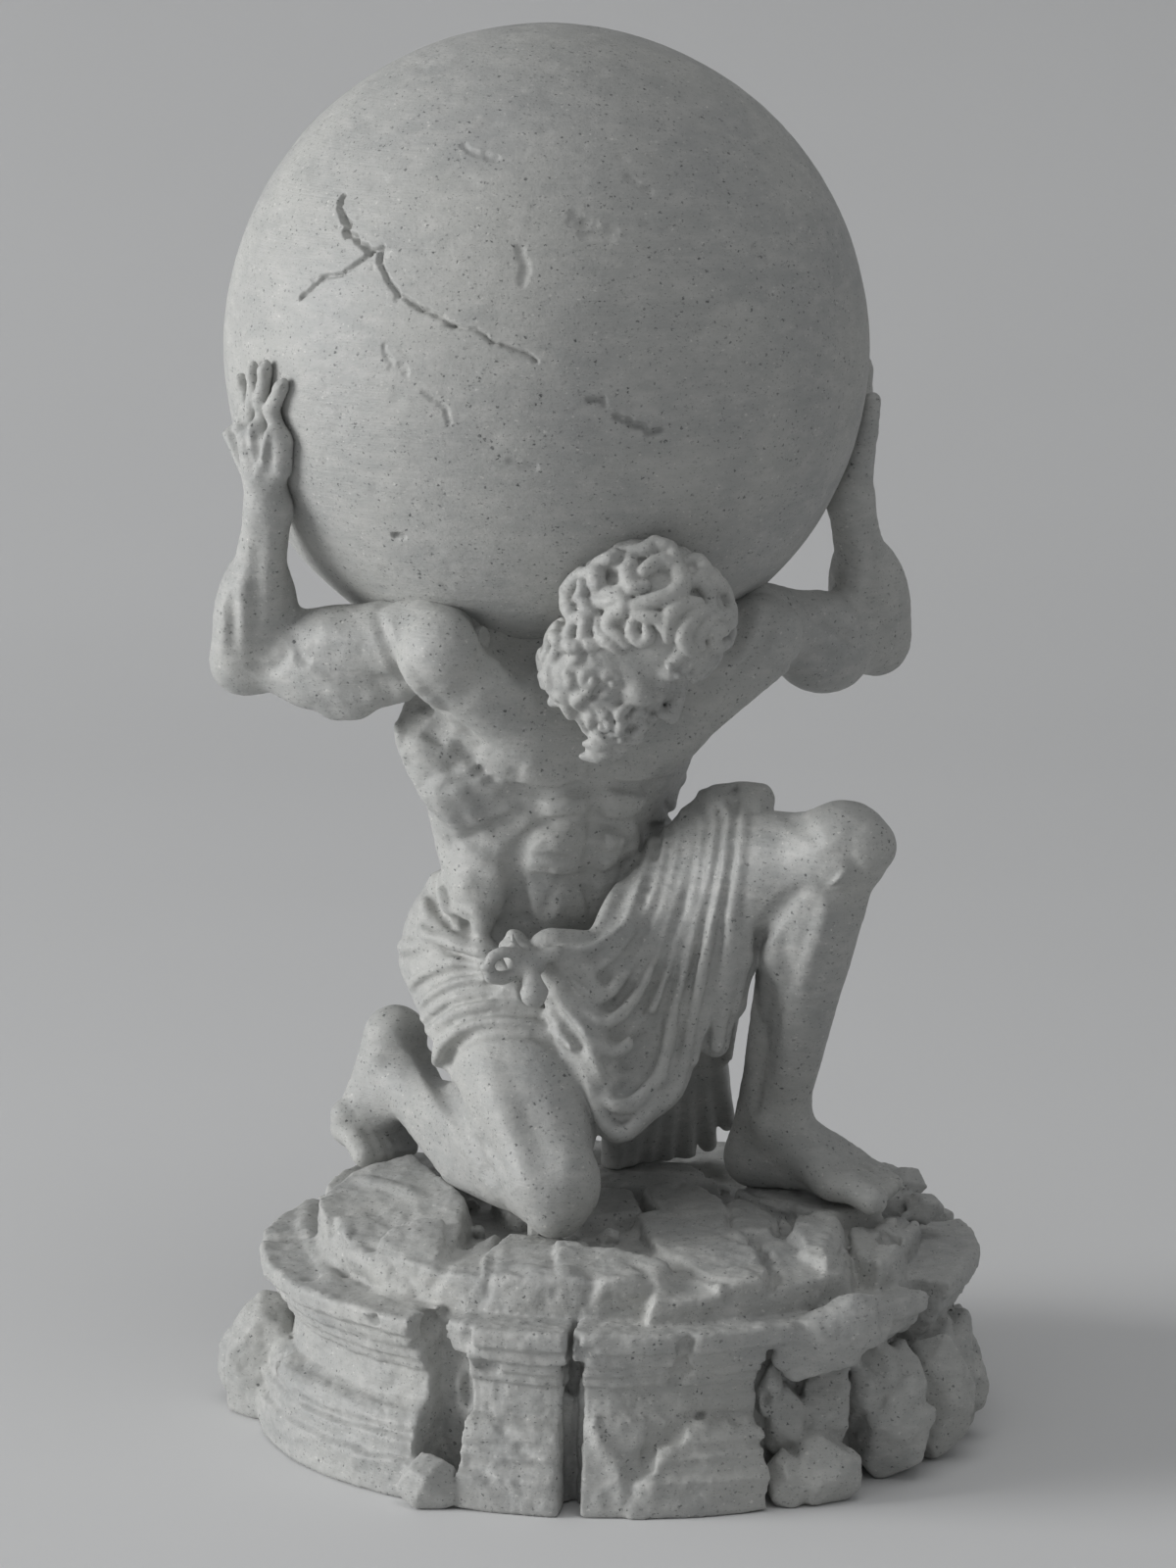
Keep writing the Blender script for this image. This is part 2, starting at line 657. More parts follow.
def trunk_form():
    body = part_around([collar, pelvis, shoulder_r, shoulder_l, skull_base], 19)
    body.add(Egg(on_chest(-1.2, 0.5, 0), trunk, 16.6, 10.8, 17), 2)
    body.add(Egg(spot(waist, trunk, -1.2, 1.5, 0), trunk, 14.2, 9.4, 13), 4)
    body.add(Egg(spot(pelvis, hips, -0.5, 3, 7), hips, 13, 9, 8.5), 4)
    body.add(Rod(spot(collar, trunk, -14, 1, -3), spot(collar, trunk, 14, 1, -3), 7.5), 4)
    for s, shoulder_side, waist_side in ((-1, 19.5, 14), (1, 15, 10.5)):
        under_arm = spot(collar, trunk, shoulder_side * s, -4, -12)
        body.add(Rod(under_arm, spot(waist, trunk, waist_side * s, -2, 0), 6, 4.6), 4)
        body.add(Rod(spot(collar, trunk, 3 * s, -3, 1), spot(collar, trunk, 17 * s, -1.5, 0.5), 5.6, 4.6), 4)
        # Shoulder blade and the furrow beside the spine
        body.add(Egg(spot(collar, trunk, 10 * s, -8.5, -10), trunk, 6.5, 4, 8.5), 3)
        high, low = spot(waist, trunk, 3.6 * s, -7.4, 8), spot(waist, trunk, 3.8 * s, -7.2, -8)
        body.add(Rod(high, low, 3.4, 3.2), 2.5)
        # Chest muscle, from the breastbone out to the arm
        body.add(Egg(on_chest(7.4 * s, 6.4, 5.6), trunk, 8.2, 5, 7.2), 2.4)
        raised = (shoulder_r if s < 0 else shoulder_l) + trunk[1] * 2.6
        body.add(Rod(raised, on_chest(10.5 * s, 6.4, 5), 6.4, 4.6), 2)
        body.add(Egg(spot(waist, trunk, 11.6 * s, 1.5, -4), trunk, 4.8, 6.5, 6), 3)
    # Belly: three rows of pads, the lowest one long and flat
    for s in (-1, 1):
        body.add(Egg(on_chest(-0.6 + 3.7 * s, 10.2, -4.2), trunk, 4.0, 2.2, 2.8), 1.6)
        body.add(Egg(on_chest(-1 + 3.8 * s, 9.8, -11), trunk, 4.6, 2.6, 4.4), 1.6)
        body.add(Egg(on_chest(-1 + 3.6 * s, 9.2, -19.6), trunk, 4.6, 2.7, 5.6), 1.8)
    body.add(Egg(on_chest(-1, 8.2, -24), trunk, 6.5, 3, 6), 2)
    body.add(Rod(collar, skull_base, 7.6, 5.2), 4)
    body.add(Rod(spot(collar, trunk, -8, 0, 1), skull_base, 4.6, 3.4), 3)
    body.add(Egg(on_chest(-14.2, 3.2, -19.6), trunk, 3.6, 5.6, 6), 2.4)
    spine = [on_chest(*p) for p in ((0, -9.5, 12), (-0.6, -9.5, 0), (-1.2, -9, -16), (-1.2, -8, -26))]
    body.groove(spine, 1.8, 1.2)
    lat = [seen(426, 716, -4), seen(425, 734, -4), seen(431, 752, -4.5), seen(441, 776, -5),
           seen(454, 806, -5)]
    body.add(Rope(curve(lat, 3), [2.6, 3.0, 3.2, 3.2, 3.2]), 2.5)
    # Hollow behind the collar bone, and the armpit
    body.carve(Egg(spot(collar, trunk, -10.5, 4.5, 4.5), trunk, 3.6, 3, 2.6), 2.5)
    body.carve(Egg(spot(collar, trunk, -25.5, -3, -10), trunk, 3, 5, 5), 3)
    return body


def arm_form(shoulder, elbow, wrist, side):
    form = part_around([shoulder, elbow, wrist, wrist + (wrist - elbow) * 0.8], 13)
    axes = frame_of(unit(shoulder, elbow), vec(0, 0, -1))
    fore = frame_of(unit(elbow, wrist), axes[2])
    name = side + "_upper_arm"
    form.add(Rod(shoulder - trunk[1] * 2.4, elbow, 6.2, 4.6), 3, name)
    if side == "right":
        under = [seen(344, 719, -4), seen(363, 716, -5.5), seen(385, 704, -7), seen(436, 694, -9)]
        form.add(Rope(curve(under, 3), [2.2, 2.6, 2.6, 2.4]), 2, name)
    form.add(Egg(mix(shoulder, elbow, 0.58) + axes[0] * 2.8, axes, 5.4, 5.2, 9.5), 2, name)
    form.add(Egg(mix(shoulder, elbow, 0.55) - axes[0] * 2.0, axes, 4.6, 4.8, 8.4), 1.2, name)
    form.add(Rod(mix(shoulder, elbow, 0.86), elbow + axes[2] * 1.5, 4, 3.4), 1.5, name)
    name = side + "_forearm"
    form.add(Rod(elbow, wrist, 4.6, 2.7), 1.6, name)
    for l, f, radius in ((2.2, 1.2, 3.8), (-2.2, 0.6, 3.9), (0.4, -2.4, 3.6)):
        bulge = mix(elbow, wrist, 0.3) + fore[0] * l + fore[1] * f
        form.add(Egg(bulge, fore, radius, radius, 8.6), 2.6, name)
    form.add(Rod(mix(elbow, wrist, 0.72), wrist, 3.1, 3), 1.5, name)
    return form


def hand_form(form, wrist, palm, fingers, thumb, side):
    """A hand spread on the globe: knuckles, tendons and slightly bent fingers."""
    name = side + "_hand"
    form.add(Rod(wrist, palm, 2.9, 3), 2, name)
    for tip, r, *given in fingers:
        knuckle = given[0] if given else mix(palm, tip, 0.2)
        middle = mix(palm, tip, 0.62)
        out = unit(globe, middle)
        form.add(Rod(mix(wrist, palm, 0.4), knuckle, 1.9, r + 0.45), 0.8, name)
        bent = [knuckle, mix(knuckle, middle, 0.5), middle + out * 0.35, tip]
        form.add(Rope(bent, [r + 0.35, r + 0.05, r + 0.15, r - 0.15]), 0.35, name)
        form.add(Egg(knuckle + out * 1.2, np.eye(3), r, r, r), 0.8, name)
        form.add(Rod(mix(wrist, palm, 0.3) + out * 2.2, knuckle + out * 1.7, 0.5, 0.6), 0.6, name)
        form.add(Egg(tip, frame_of(unit(middle, tip), out), r * 0.9, r * 0.9, r * 1.7), 0.4, name)
        form.add(Egg(tip + out * 0.75, frame_of(unit(middle, tip), out), 0.5, 0.9, 1.1), 0.3, name)
    form.add(Rope([mix(wrist, palm, 0.35), *thumb], [2.2, 1.7, 1.3]), 1, name)


def build_hands(arm_r, arm_l):
    fingers_r = [(on_ball(248, 391, 1.0), 0.95, on_ball(243, 441, 1.3)),
                 (on_ball(259, 381, 1.0), 1.05, on_ball(254, 436, 1.4)),
                 (on_ball(271, 379, 1.0), 1.05, on_ball(268, 436, 1.5)),
                 (on_ball(287, 396, 1.0), 1.1, on_ball(284, 444, 1.5))]
    fingers_l = [(on_globe(46, 10.5, -4.8, 1.2), 1.3), (on_globe(44.4, 15, -3.4, 1.2), 1.4),
                 (on_globe(42.4, 19, -5, 1.2), 1.4), (on_globe(39.6, 22.4, -8, 1.2), 1.25)]
    thumb_r = [on_ball(286, 478, 1.4), on_ball(290, 452, 1.3)]
    thumb_l = [on_globe(47, 2.6, -13, 1.6), on_globe(47.2, 1.4, -8, 1.2)]
    hand_form(arm_r, wrist_r, palm_r, fingers_r, thumb_r, "right")
    hand_form(arm_l, wrist_l, palm_l, fingers_l, thumb_l, "left")


def leg_form(hip, knee, ankle, calf_back, side, out):
    """A leg: the thigh's muscles, kneecap, shin ridge and calf. out points to the leg's outer side."""
    thigh = part_around([hip, knee], 17)
    axes = frame_of(unit(hip, knee), unit(knee, ankle))
    name = side + "_thigh"
    thigh.add(Rod(hip, knee, 10.8, 6.2), 4, name)
    thigh.add(Egg(mix(hip, knee, 0.5) - axes[0] * 1.2, axes, 9.2, 9, 17), 4, name)
    side_way = out - axes[2] * (out @ axes[2])
    side_way = side_way / np.linalg.norm(side_way)
    top = -axes[0]
    for across, rise, t, r, length in ((3.6, 1.8, 0.62, 5.4, 12), (-3.4, 1.2, 0.7, 5.2, 9),
                                       (0, 3.4, 0.52, 5, 14)):
        middle = mix(hip, knee, t) + side_way * across + top * rise
        thigh.add(Egg(middle, axes, r, r, length), 1.6, name)
    thigh.add(Egg(knee + axes[2] * 1.2, axes, 6.2, 6.2, 6.4), 2, name)
    shin = part_around([knee, ankle], 13)
    shin_axes = frame_of(unit(knee, ankle), axes[2])
    front = shin_axes[0]
    name = side + "_shin"
    shin.add(Rod(knee, ankle, 5.6, 3.5), 2.5, name)
    shin.add(Egg(mix(knee, ankle, 0.3) - front * calf_back, shin_axes, 5.4, 5.8, 12.5), 3, name)
    for s in (-1, 1):
        calf = mix(knee, ankle, 0.28) - front * (calf_back + 1.2) + shin_axes[1] * 2.4 * s
        shin.add(Egg(calf, shin_axes, 3.8, 3.8, 10), 1.4, name)
    shin.add(Rod(mix(knee, ankle, 0.12) + front * 3.6, mix(knee, ankle, 0.8) + front * 1.8,
                 1.7, 1.2), 1.4, name)
    if side == "right":
        # It lies along the ground up to its middle
        under = [knee - vec(0, 0, 1.6), at(-21.5, 0, 5), ankle - vec(0, 0, 0.8)]
        shin.add(Rope(under, [5.4, 4.7, 3.6]), 2, name)
    # Kneecap and the two pads beside its tendon
    patella = knee + axes[2] * 4.6 + front * 1.5
    thigh.add(Egg(patella, axes, 3.6, 3.8, 3), 1.2, side + "_thigh")
    tendon = patella - axes[2] * 1.4 + unit(knee, ankle) * 3
    shin.add(Rod(tendon, mix(knee, ankle, 0.2) + front * 4, 1.7, 1.5), 1.2, name)
    return thigh, shin


def toe(form, root, tip, r, name, up):
    """A toe: a bent rod with a pad and a nail."""
    middle = mix(root, tip, 0.5) + up * 0.5
    form.add(Rope([root, middle, tip], [r + 0.25, r, r - 0.05]), 0.5, name)
    form.add(Egg(tip + up * (r - 0.35), frame_of(unit(root, tip), up), 0.4, r * 0.6, r * 0.6), 0.15, name)


def feet():
    up = vec(0, 0, 1)
    step, across = vec(0.78, -0.62, 0), vec(0.62, 0.78, 0)
    heel = at(20.2, 5.6, 3.9)
    ball_l = heel + step * 17 - up * 0.6
    name = "left_foot"
    foot_l = part_around([heel, ball_l + step * 10, ankle_l, at(20.4, 0.5, 26)], 9)
    foot_l.add(Rod(heel, heel + step * 6, 4.2, 3.8), 2, name)
    tendon = [at(23.6, -5, 40), at(22.5, -1, 31.2), at(20.6, 2, 16.2), heel - step]
    foot_l.add(Rope(tendon, [4, 3.2, 3.0, 3.8]), 3, name)
    foot_l.add(Rod(ankle_l, ball_l - step * 5, 4.1, 3.5), 3, name)
    foot_l.add(Rod(ankle_l + up * 3, ankle_l, 3.8, 4), 2, name)
    for s, h in ((-1, 2.6), (1, 1.6)):
        foot_l.add(Egg(ankle_l + across * 3.6 * s + up * (h - 2), np.eye(3), 1.8, 1.8, 2.1), 1.2, name)
    for i in range(5):
        root = ball_l + across * (-3.8 + 2.6 * i) - step * (2 + 0.5 * i)
        tip = root + step * (8.2 - 0.5 * i) - up * 1.6
        big = i == 0
        foot_l.add(Rod(mix(ankle_l, root, 0.4) - up * 0.6, root - up * 0.3, 2.6,
                       2.2 if big else 1.9), 1.6, name)
        foot_l.add(Rod(mix(ankle_l, root, 0.5) + up * 1.7, root + up * 1.2, 0.7, 0.7), 0.9, name)
        toe(foot_l, root + step * 1.2 - up * 0.4, tip, 2.1 if big else 1.5, name, up)
    heel = at(-32.6, 20.4, 18.2)
    ball_r = at(-36.2, 20.5, 5)
    tuck = unit(vec(ankle_r[0], ankle_r[1], 0), vec(knee_r[0], knee_r[1], 0))
    tuck_side = vec(-tuck[1], tuck[0], 0)
    name = "right_foot"
    foot_r = part_around([heel, ball_r, ball_r + tuck * 6, ankle_r], 9)
    foot_r.add(Rod(ankle_r, ball_r, 4.2, 3.2), 2.5, name)
    for side in (-3, 0, 3):
        foot_r.add(Rod(heel, ball_r + tuck_side * side, 3.7, 3.1), 2.5, name)
    for s, rise in ((1, 0.6), (-1, 0.2)):
        bone = mix(ankle_r, heel, 0.35) + tuck_side * 3.4 * s + up * rise
        foot_r.add(Egg(bone, np.eye(3), 1.8, 1.8, 1.8), 1.2, name)
    for i in range(5):
        root = ball_r + tuck_side * (-4.3 + 2.1 * i)
        tip = root + tuck * (5.6 - 0.4 * i) - up * 3
        foot_r.add(Rod(root + up * 2, root, 2.2, 1.9), 1, name)
        toe(foot_r, root, tip, 1.75 - 0.08 * i, name, unit(vec(0, 0, 0), up + tuck * 0.3))
    return foot_r, foot_l


def wrap_form():
    """The cloth round the hips, rolled at the belt, with creases over the right thigh."""
    cloth = part_around([pelvis, hip_r, hip_l, at(-34, 28, 22), at(10, -20, 52)], 12)
    name = "drape_hips"
    cloth.add(Egg(spot(pelvis, hips, 0, 0, -1), hips, 17.8, 13.8, 11), 2, name)
    cloth.add(Rod(hip_r, mix(hip_r, knee_r, 0.34), 12.0, 10.6), 3, name)
    cloth.add(Rod(hip_l, mix(hip_l, knee_l, 0.2), 11.6, 10.8), 3, name)
    cloth.add(Egg(spot(pelvis, hips, -1, -8, -7), hips, 15, 8, 12), 4, name)
    rolls = [
        [(-28, 8, 79), (-26.3, 0, 76.4), (-23.7, -6, 73.5), (-19.5, -11, 72), (-14, -14.3, 71),
         (-9, -14.6, 71.4)],
        [(7, 5, 82), (6, 15, 82), (-2, 22, 81), (-9, 24, 80), (-22, 18, 80), (-28, 8, 79)],
    ]
    for roll in rolls:
        laid = man.snap(np.array(curve([vec(*p) for p in roll], 3)), 0.1)
        cloth.add(Rope(laid, 1.1), 2.5, name)
    bands = [
        ([(-26.5, -1.7, 77.9), (-24, -2.8, 72.4), (-20.9, -3.7, 70.8), (-17.6, -2, 70.4)], 1.1, 0.9),
        ([(-28.6, 4.8, 79), (-27.9, 1.1, 71.6), (-22.9, -3.4, 70.3), (-16, -10, 71)], 1.2, 0.9),
        ([(-31.4, 6.7, 67.6), (-26.8, -2.1, 69.9), (-22.9, -3.4, 70.3), (-15, -12, 69.5)], 1.2, 0.9),
        ([(-29.7, -1.7, 60.3), (-23.9, -8.4, 65.7), (-17.5, -9.4, 66.4), (-12.7, -9.8, 65.3)], 0.8, 0.7),
        ([(-24.6, -8.4, 61.9), (-18.3, -12.4, 64.2), (-12.1, -10.5, 62.9)], 0.7, 0.6),
        ([(-30.5, 3, 62.9), (-25.4, -5.1, 67.5), (-18.4, -6.8, 68.2), (-14.2, -8.8, 66.8)], 0.9, 0.8),
        ([(-23.6, -9.8, 60.1), (-18.3, -14.1, 62.3), (-11.4, -11.2, 60.5)], 0.7, 0.6),
        ([(-31.5, 12, 66), (-30.5, 6, 63), (-30, 0, 58), (-27.5, -5, 56)], 0.9, 0.8),
        ([(-31, 14, 61), (-30, 7, 57), (-28.8, 3, 53)], 0.9, 0.7),
    ]
    for line, radius, height in bands:
        cloth.ridge([vec(*p) for p in line], radius, height, 0.8, name)
    # Folds down the back
    for k in range(7):
        x = -24 + 4.6 * k
        cloth.ridge([vec(x, 26, 79), vec(x - 1.5, 27, 68), vec(x - 2.5, 25, 57)], 1.3, 0.9, 1.2, name)
    hem = [(-30.5, 10, 49.5), (-28.5, 4, 50), (-26.1, 0, 52.6), (-24.2, -9, 57.2), (-21.8, -11.9, 59),
           (-19, -13.9, 59.8), (-14.2, -14.6, 60.4), (-10.4, -14.4, 59.4), (-6.7, -16.7, 57.6),
           (-3.8, -17.5, 55.5)]
    cloth.ridge([vec(*p) for p in hem], 1.0, 1.0, 0.6, name)
    return cloth


def swag_form():
    """The cloth slung from the knot to the raised thigh: deep folds that hang in a curve."""
    cloth = part_around([at(-12, -20, 10), at(20, 2, 56), mix(hip_l, knee_l, 0.5)], 13)
    name = "drape_swag"
    cloth.add(Rod(mix(hip_l, knee_l, 0.2), mix(hip_l, knee_l, 0.5), 11.0, 10.6), 2, name)
    folds = [
        [(-8.5, -15.4, 72), (-2.7, -13.7, 71.8), (-0.1, -9.5, 75.7), (2.4, -6, 78.8), (5.1, 0.1, 81.4)],
        [(-10.4, -15.5, 71.8), (-6.7, -15, 69.5), (-3.4, -14, 69), (-0.5, -12.1, 72.6),
         (3.7, -6.9, 77.1), (6.5, -3, 82)],
        [(-9, -14.9, 69.4), (-4.2, -16, 68.1), (-2.3, -14.8, 65.7), (-0.5, -14.1, 68.5), (2.1, -10.1, 72.2),
         (7, -6.8, 80.9), (8, -3, 84)],
        [(-6.7, -16.6, 68), (-3.4, -16.5, 63.7), (-1.5, -16, 62.5), (0.6, -14.6, 63.7), (2.8, -12.7, 67.1),
         (5, -9.8, 72.1), (8.8, -7.8, 80.7), (9.5, -4, 85.5)],
        [(-8.9, -14.8, 65.6), (-4.2, -17.8, 61.1), (-1.6, -16.7, 58.8), (1.3, -15.7, 58.6),
         (3.6, -13.5, 61.9), (5.9, -11.1, 66.7), (8.1, -9, 73.8), (9.9, -6.9, 82.8), (10.5, -3, 87)],
        [(-6.7, -17.7, 58.6), (-3.8, -18.5, 56.5), (-2.3, -17.8, 53), (-0.5, -18.1, 50.5),
         (2.1, -16.8, 50.5), (4.9, -14.7, 54), (7.4, -11.8, 61.2), (9.6, -9.7, 70), (11.5, -8.8, 79.7),
         (12.8, -5.6, 86.5), (13, -2, 89)],
        [(-4.2, -17.6, 52.9), (-2.7, -17.5, 49.3), (0, -17, 46), (3.9, -15, 48.6), (7.3, -13, 51),
         (8.8, -10.9, 55.2), (11, -10.5, 63.8), (13.2, -10.2, 75), (14.9, -6, 87.6), (15, -2, 90)],
        [(17.6, -2, 90.5), (17.2, -6.5, 86), (16.9, -10.5, 75.9), (15.2, -10, 66.5), (13.7, -9, 56.6)],
        [(20, -3, 90.5), (19.6, -7.5, 87), (18.6, -10.5, 78), (17, -9.5, 69), (16, -8.5, 62)],
    ]
    lines = [curve([vec(*p) for p in line], 4) for line in folds]
    for line in lines:
        cloth.add(Rope(line + vec(-0.3, 2.4, 0.2), 2.3), 1.6, name)
    for k, line in enumerate(lines):
        mid = 1.25 if k < 5 else 1.35
        cloth.add(Rope(line, [0.7, mid, mid, mid + 0.15, 1.0]), 0.5, name)
    # The sheet behind the folds
    for a, b in zip(lines[3:7], lines[4:]):
        steps = np.linspace(0, 1, 8)
        for t in (0.35, 0.65):
            line = [mix(a[int(s * (len(a) - 1))], b[int(s * (len(b) - 1))], t) for s in steps]
            cloth.add(Rope(line + vec(0, 3.0, 0), 1.9), 1.8, name)
    edge = [vec(15.6, -5.8, 88.5), vec(14.6, -10.4, 74.1), vec(12.4, -10.5, 62.3), vec(11.6, -10.5, 54.5)]
    cloth.ridge(edge, 1.0, 0.8, 0.6, name)
    return cloth


def tail_form():
    """The end of the cloth that hangs behind the legs, in narrow folds."""
    cloth = part_around([at(0, 4, 1), at(20, 24, 42)], 8)
    name = "drape_tail"
    strands = [
        ([(741, 1000, 7), (741, 1040, 9), (738, 1078, 11)], [2.2, 1.8, 1.2]),
        ([(728, 1000, 8), (726, 1050, 11), (731, 1100, 15), (742, 1146, 21)], [2.4, 2.2, 2.0, 1.2]),
        ([(715, 1000, 8), (711, 1060, 12), (714, 1112, 16), (722, 1166, 23)], [2.6, 2.4, 2.2, 1.4]),
        ([(699, 1010, 8), (697, 1070, 12), (697, 1120, 16), (699, 1176, 22)], [2.6, 2.4, 2.2, 1.6]),
        ([(682, 1040, 8), (682, 1090, 12), (679, 1135, 16), (676, 1182, 21)], [2.6, 2.4, 2.2, 1.8]),
        ([(666, 1070, 9), (664, 1110, 12), (660, 1150, 16), (656, 1184, 20)], [2.6, 2.4, 2.2, 1.8]),
        ([(650, 1090, 9), (646, 1130, 12), (642, 1160, 15), (638, 1188, 18)], [2.6, 2.4, 2.2, 1.8]),
        ([(632, 1100, 9), (630, 1140, 12), (626, 1190, 16)], [2.6, 2.4, 1.8]),
    ]
    for line, radii in strands:
        cloth.add(Rope(curve([seen(*p) for p in line], 4), radii), 0.9, name)
    for line, _ in strands:
        edge = [seen(u + 5, v, y - 1.6) for u, v, y in line]
        cloth.add(Rope(curve(edge, 4), [0.9, 1.0, 0.7]), 0.5, name)
    return cloth


def knot_form():
    tie = part_around([at(-13.6, -16.4, 37.4)], 9)
    name = "belt_knot"
    knot = at(-13.6, -16.8, 37.4)
    turn = np.radians(np.arange(-60, 301, 20))
    loop = [spot(knot, hips, -3.2 + 2.2 * math.cos(a), 0.9, 0.4 + 2.1 * math.sin(a)) for a in turn]
    tie.add(Egg(knot + vec(1.2, 0, 0), hips, 2.2, 1.9, 2.0), 0.7, name)
    tie.add(Rod(knot, knot - hips[1] * 5, 2.2), 1, name)
    tie.add(Rope(loop, [0.95, 0.8, 0.95]), 0.3, name)
    tie.add(Rod(knot + vec(-0.8, -1, 1), knot + vec(-1.6, -1.2, 4.2), 0.95, 0.8), 0.3, name)
    tie.add(Rod(knot + vec(1, -1, 0.4), knot + vec(4.6, -0.2, 1.6), 1.1, 0.9), 0.5, name)
    end = [knot + vec(1.2, -1.4, -0.6), knot + vec(1.4, -2.0, -2.2), at(-12.0, -18.8, 33.4)]
    tie.add(Rope(end, [1.0, 1.5, 1.9]), 0.3, name)
    return tie


# Strokes by points of the view: line, width and height in millimetres, and True for a sharp one
torso_marks = [
    # The band from the shoulder into the chest, and the hollows beside it
    ([(384, 622), (392, 650), (406, 682), (424, 708), (440, 722), (452, 735)], 1.7, -1.7, True),
    ([(396, 643), (411, 677), (429, 702), (447, 717), (467, 738), (488, 758), (505, 776), (521, 790),
      (530, 796)], 2.6, 1.5),
    ([(452, 730), (446, 746), (440, 760)], 2.6, -1.6),
    ([(397, 727), (407, 758), (417, 784), (430, 804), (441, 824)], 1.7, 0.8),
    ([(498, 655), (494, 680), (480, 700), (462, 716)], 2.6, -0.7),
    ([(490, 620), (512, 638), (536, 658), (560, 680)], 5.5, -4.6),
    ([(500, 690), (530, 700), (556, 712)], 3.0, 0.6),
    # Lower edges of the chest, the breastbone and the rows of the belly
    ([(521, 800), (540, 806), (560, 809), (585, 806), (602, 797)], 1.6, -1.9, True),
    ([(612, 797), (635, 802), (661, 803), (684, 792)], 1.5, -1.8, True),
    ([(530, 786), (555, 794), (588, 793)], 3.8, 0.8),
    ([(620, 788), (645, 791), (668, 782)], 3.8, 0.8),
    ([(607, 770), (606, 804), (607, 845), (603, 870), (601, 898), (600, 935)], 1.5, -1.8, True),
    ([(528, 884), (533, 862), (545, 849), (562, 841), (584, 837), (604, 836)], 1.5, -1.8, True),
    ([(606, 838), (626, 842), (640, 848), (652, 860)], 1.5, -1.7, True),
    ([(538, 894), (552, 898), (570, 899), (590, 897), (604, 896)], 1.4, -1.7, True),
    ([(604, 896), (618, 894), (630, 889)], 1.4, -1.3, True),
    ([(536, 873), (556, 876), (580, 877), (602, 875)], 1.2, -0.6, True),
    ([(604, 874), (622, 872), (640, 866)], 1.2, -0.5, True),
    ([(548, 824), (574, 823), (594, 821)], 3.2, 0.3),
    ([(616, 821), (640, 822)], 3.2, 0.4),
    ([(560, 862), (576, 858), (590, 856)], 3.2, 0.4),
    ([(560, 886), (576, 887), (590, 886)], 2.8, 0.4),
    ([(614, 858), (632, 859)], 2.4, 0.8),
    ([(612, 882), (626, 880)], 2.0, 0.7),
    ([(560, 920), (582, 928), (606, 922)], 4.6, 0.8),
    ([(530, 852), (526, 872), (525, 892), (528, 915), (534, 938), (546, 952)], 2.6, -1.7, True),
    ([(655, 846), (645, 866), (638, 888), (636, 912), (626, 938), (610, 952)], 2.2, -1.8, True),
    ([(464, 892), (476, 912), (492, 930), (510, 938)], 4.4, 1.3),
    ([(505, 880), (508, 902), (514, 924)], 3.0, 0.8),
    ([(452, 905), (464, 928), (484, 945), (512, 955), (540, 958)], 1.6, -1.0, True),
    ([(462, 752), (478, 768), (496, 786), (512, 800)], 2.0, -1.0, True),
    ([(462, 782), (478, 812), (496, 844)], 7.5, 3.0),
    # Rib arch and the muscle fingers on the ribs
    ([(500, 797), (511, 814)], 2.3, 0.50),
    ([(515, 817), (527, 833)], 2.3, 0.50),
    ([(530, 832), (544, 846)], 2.2, 0.44),
    ([(446, 780), (456, 802)], 1.6, 0.39),
    ([(440, 802), (451, 825)], 1.6, 0.39),
    ([(461, 796), (475, 818)], 1.8, 0.44),
    ([(455, 826), (468, 848)], 1.8, 0.39),
    ([(476, 818), (492, 843)], 1.8, 0.44),
    ([(446, 838), (457, 860)], 1.6, 0.33),
    ([(489, 838), (504, 860)], 1.9, 0.44),
    ([(466, 853), (482, 877)], 1.8, 0.33),
    ([(484, 790), (498, 812)], 1.8, 0.33),
    ([(470, 778), (482, 796)], 1.8, 0.33),
    ([(446, 868), (461, 888)], 1.8, 0.28),
    ([(484, 866), (498, 884)], 1.9, 0.22),
]
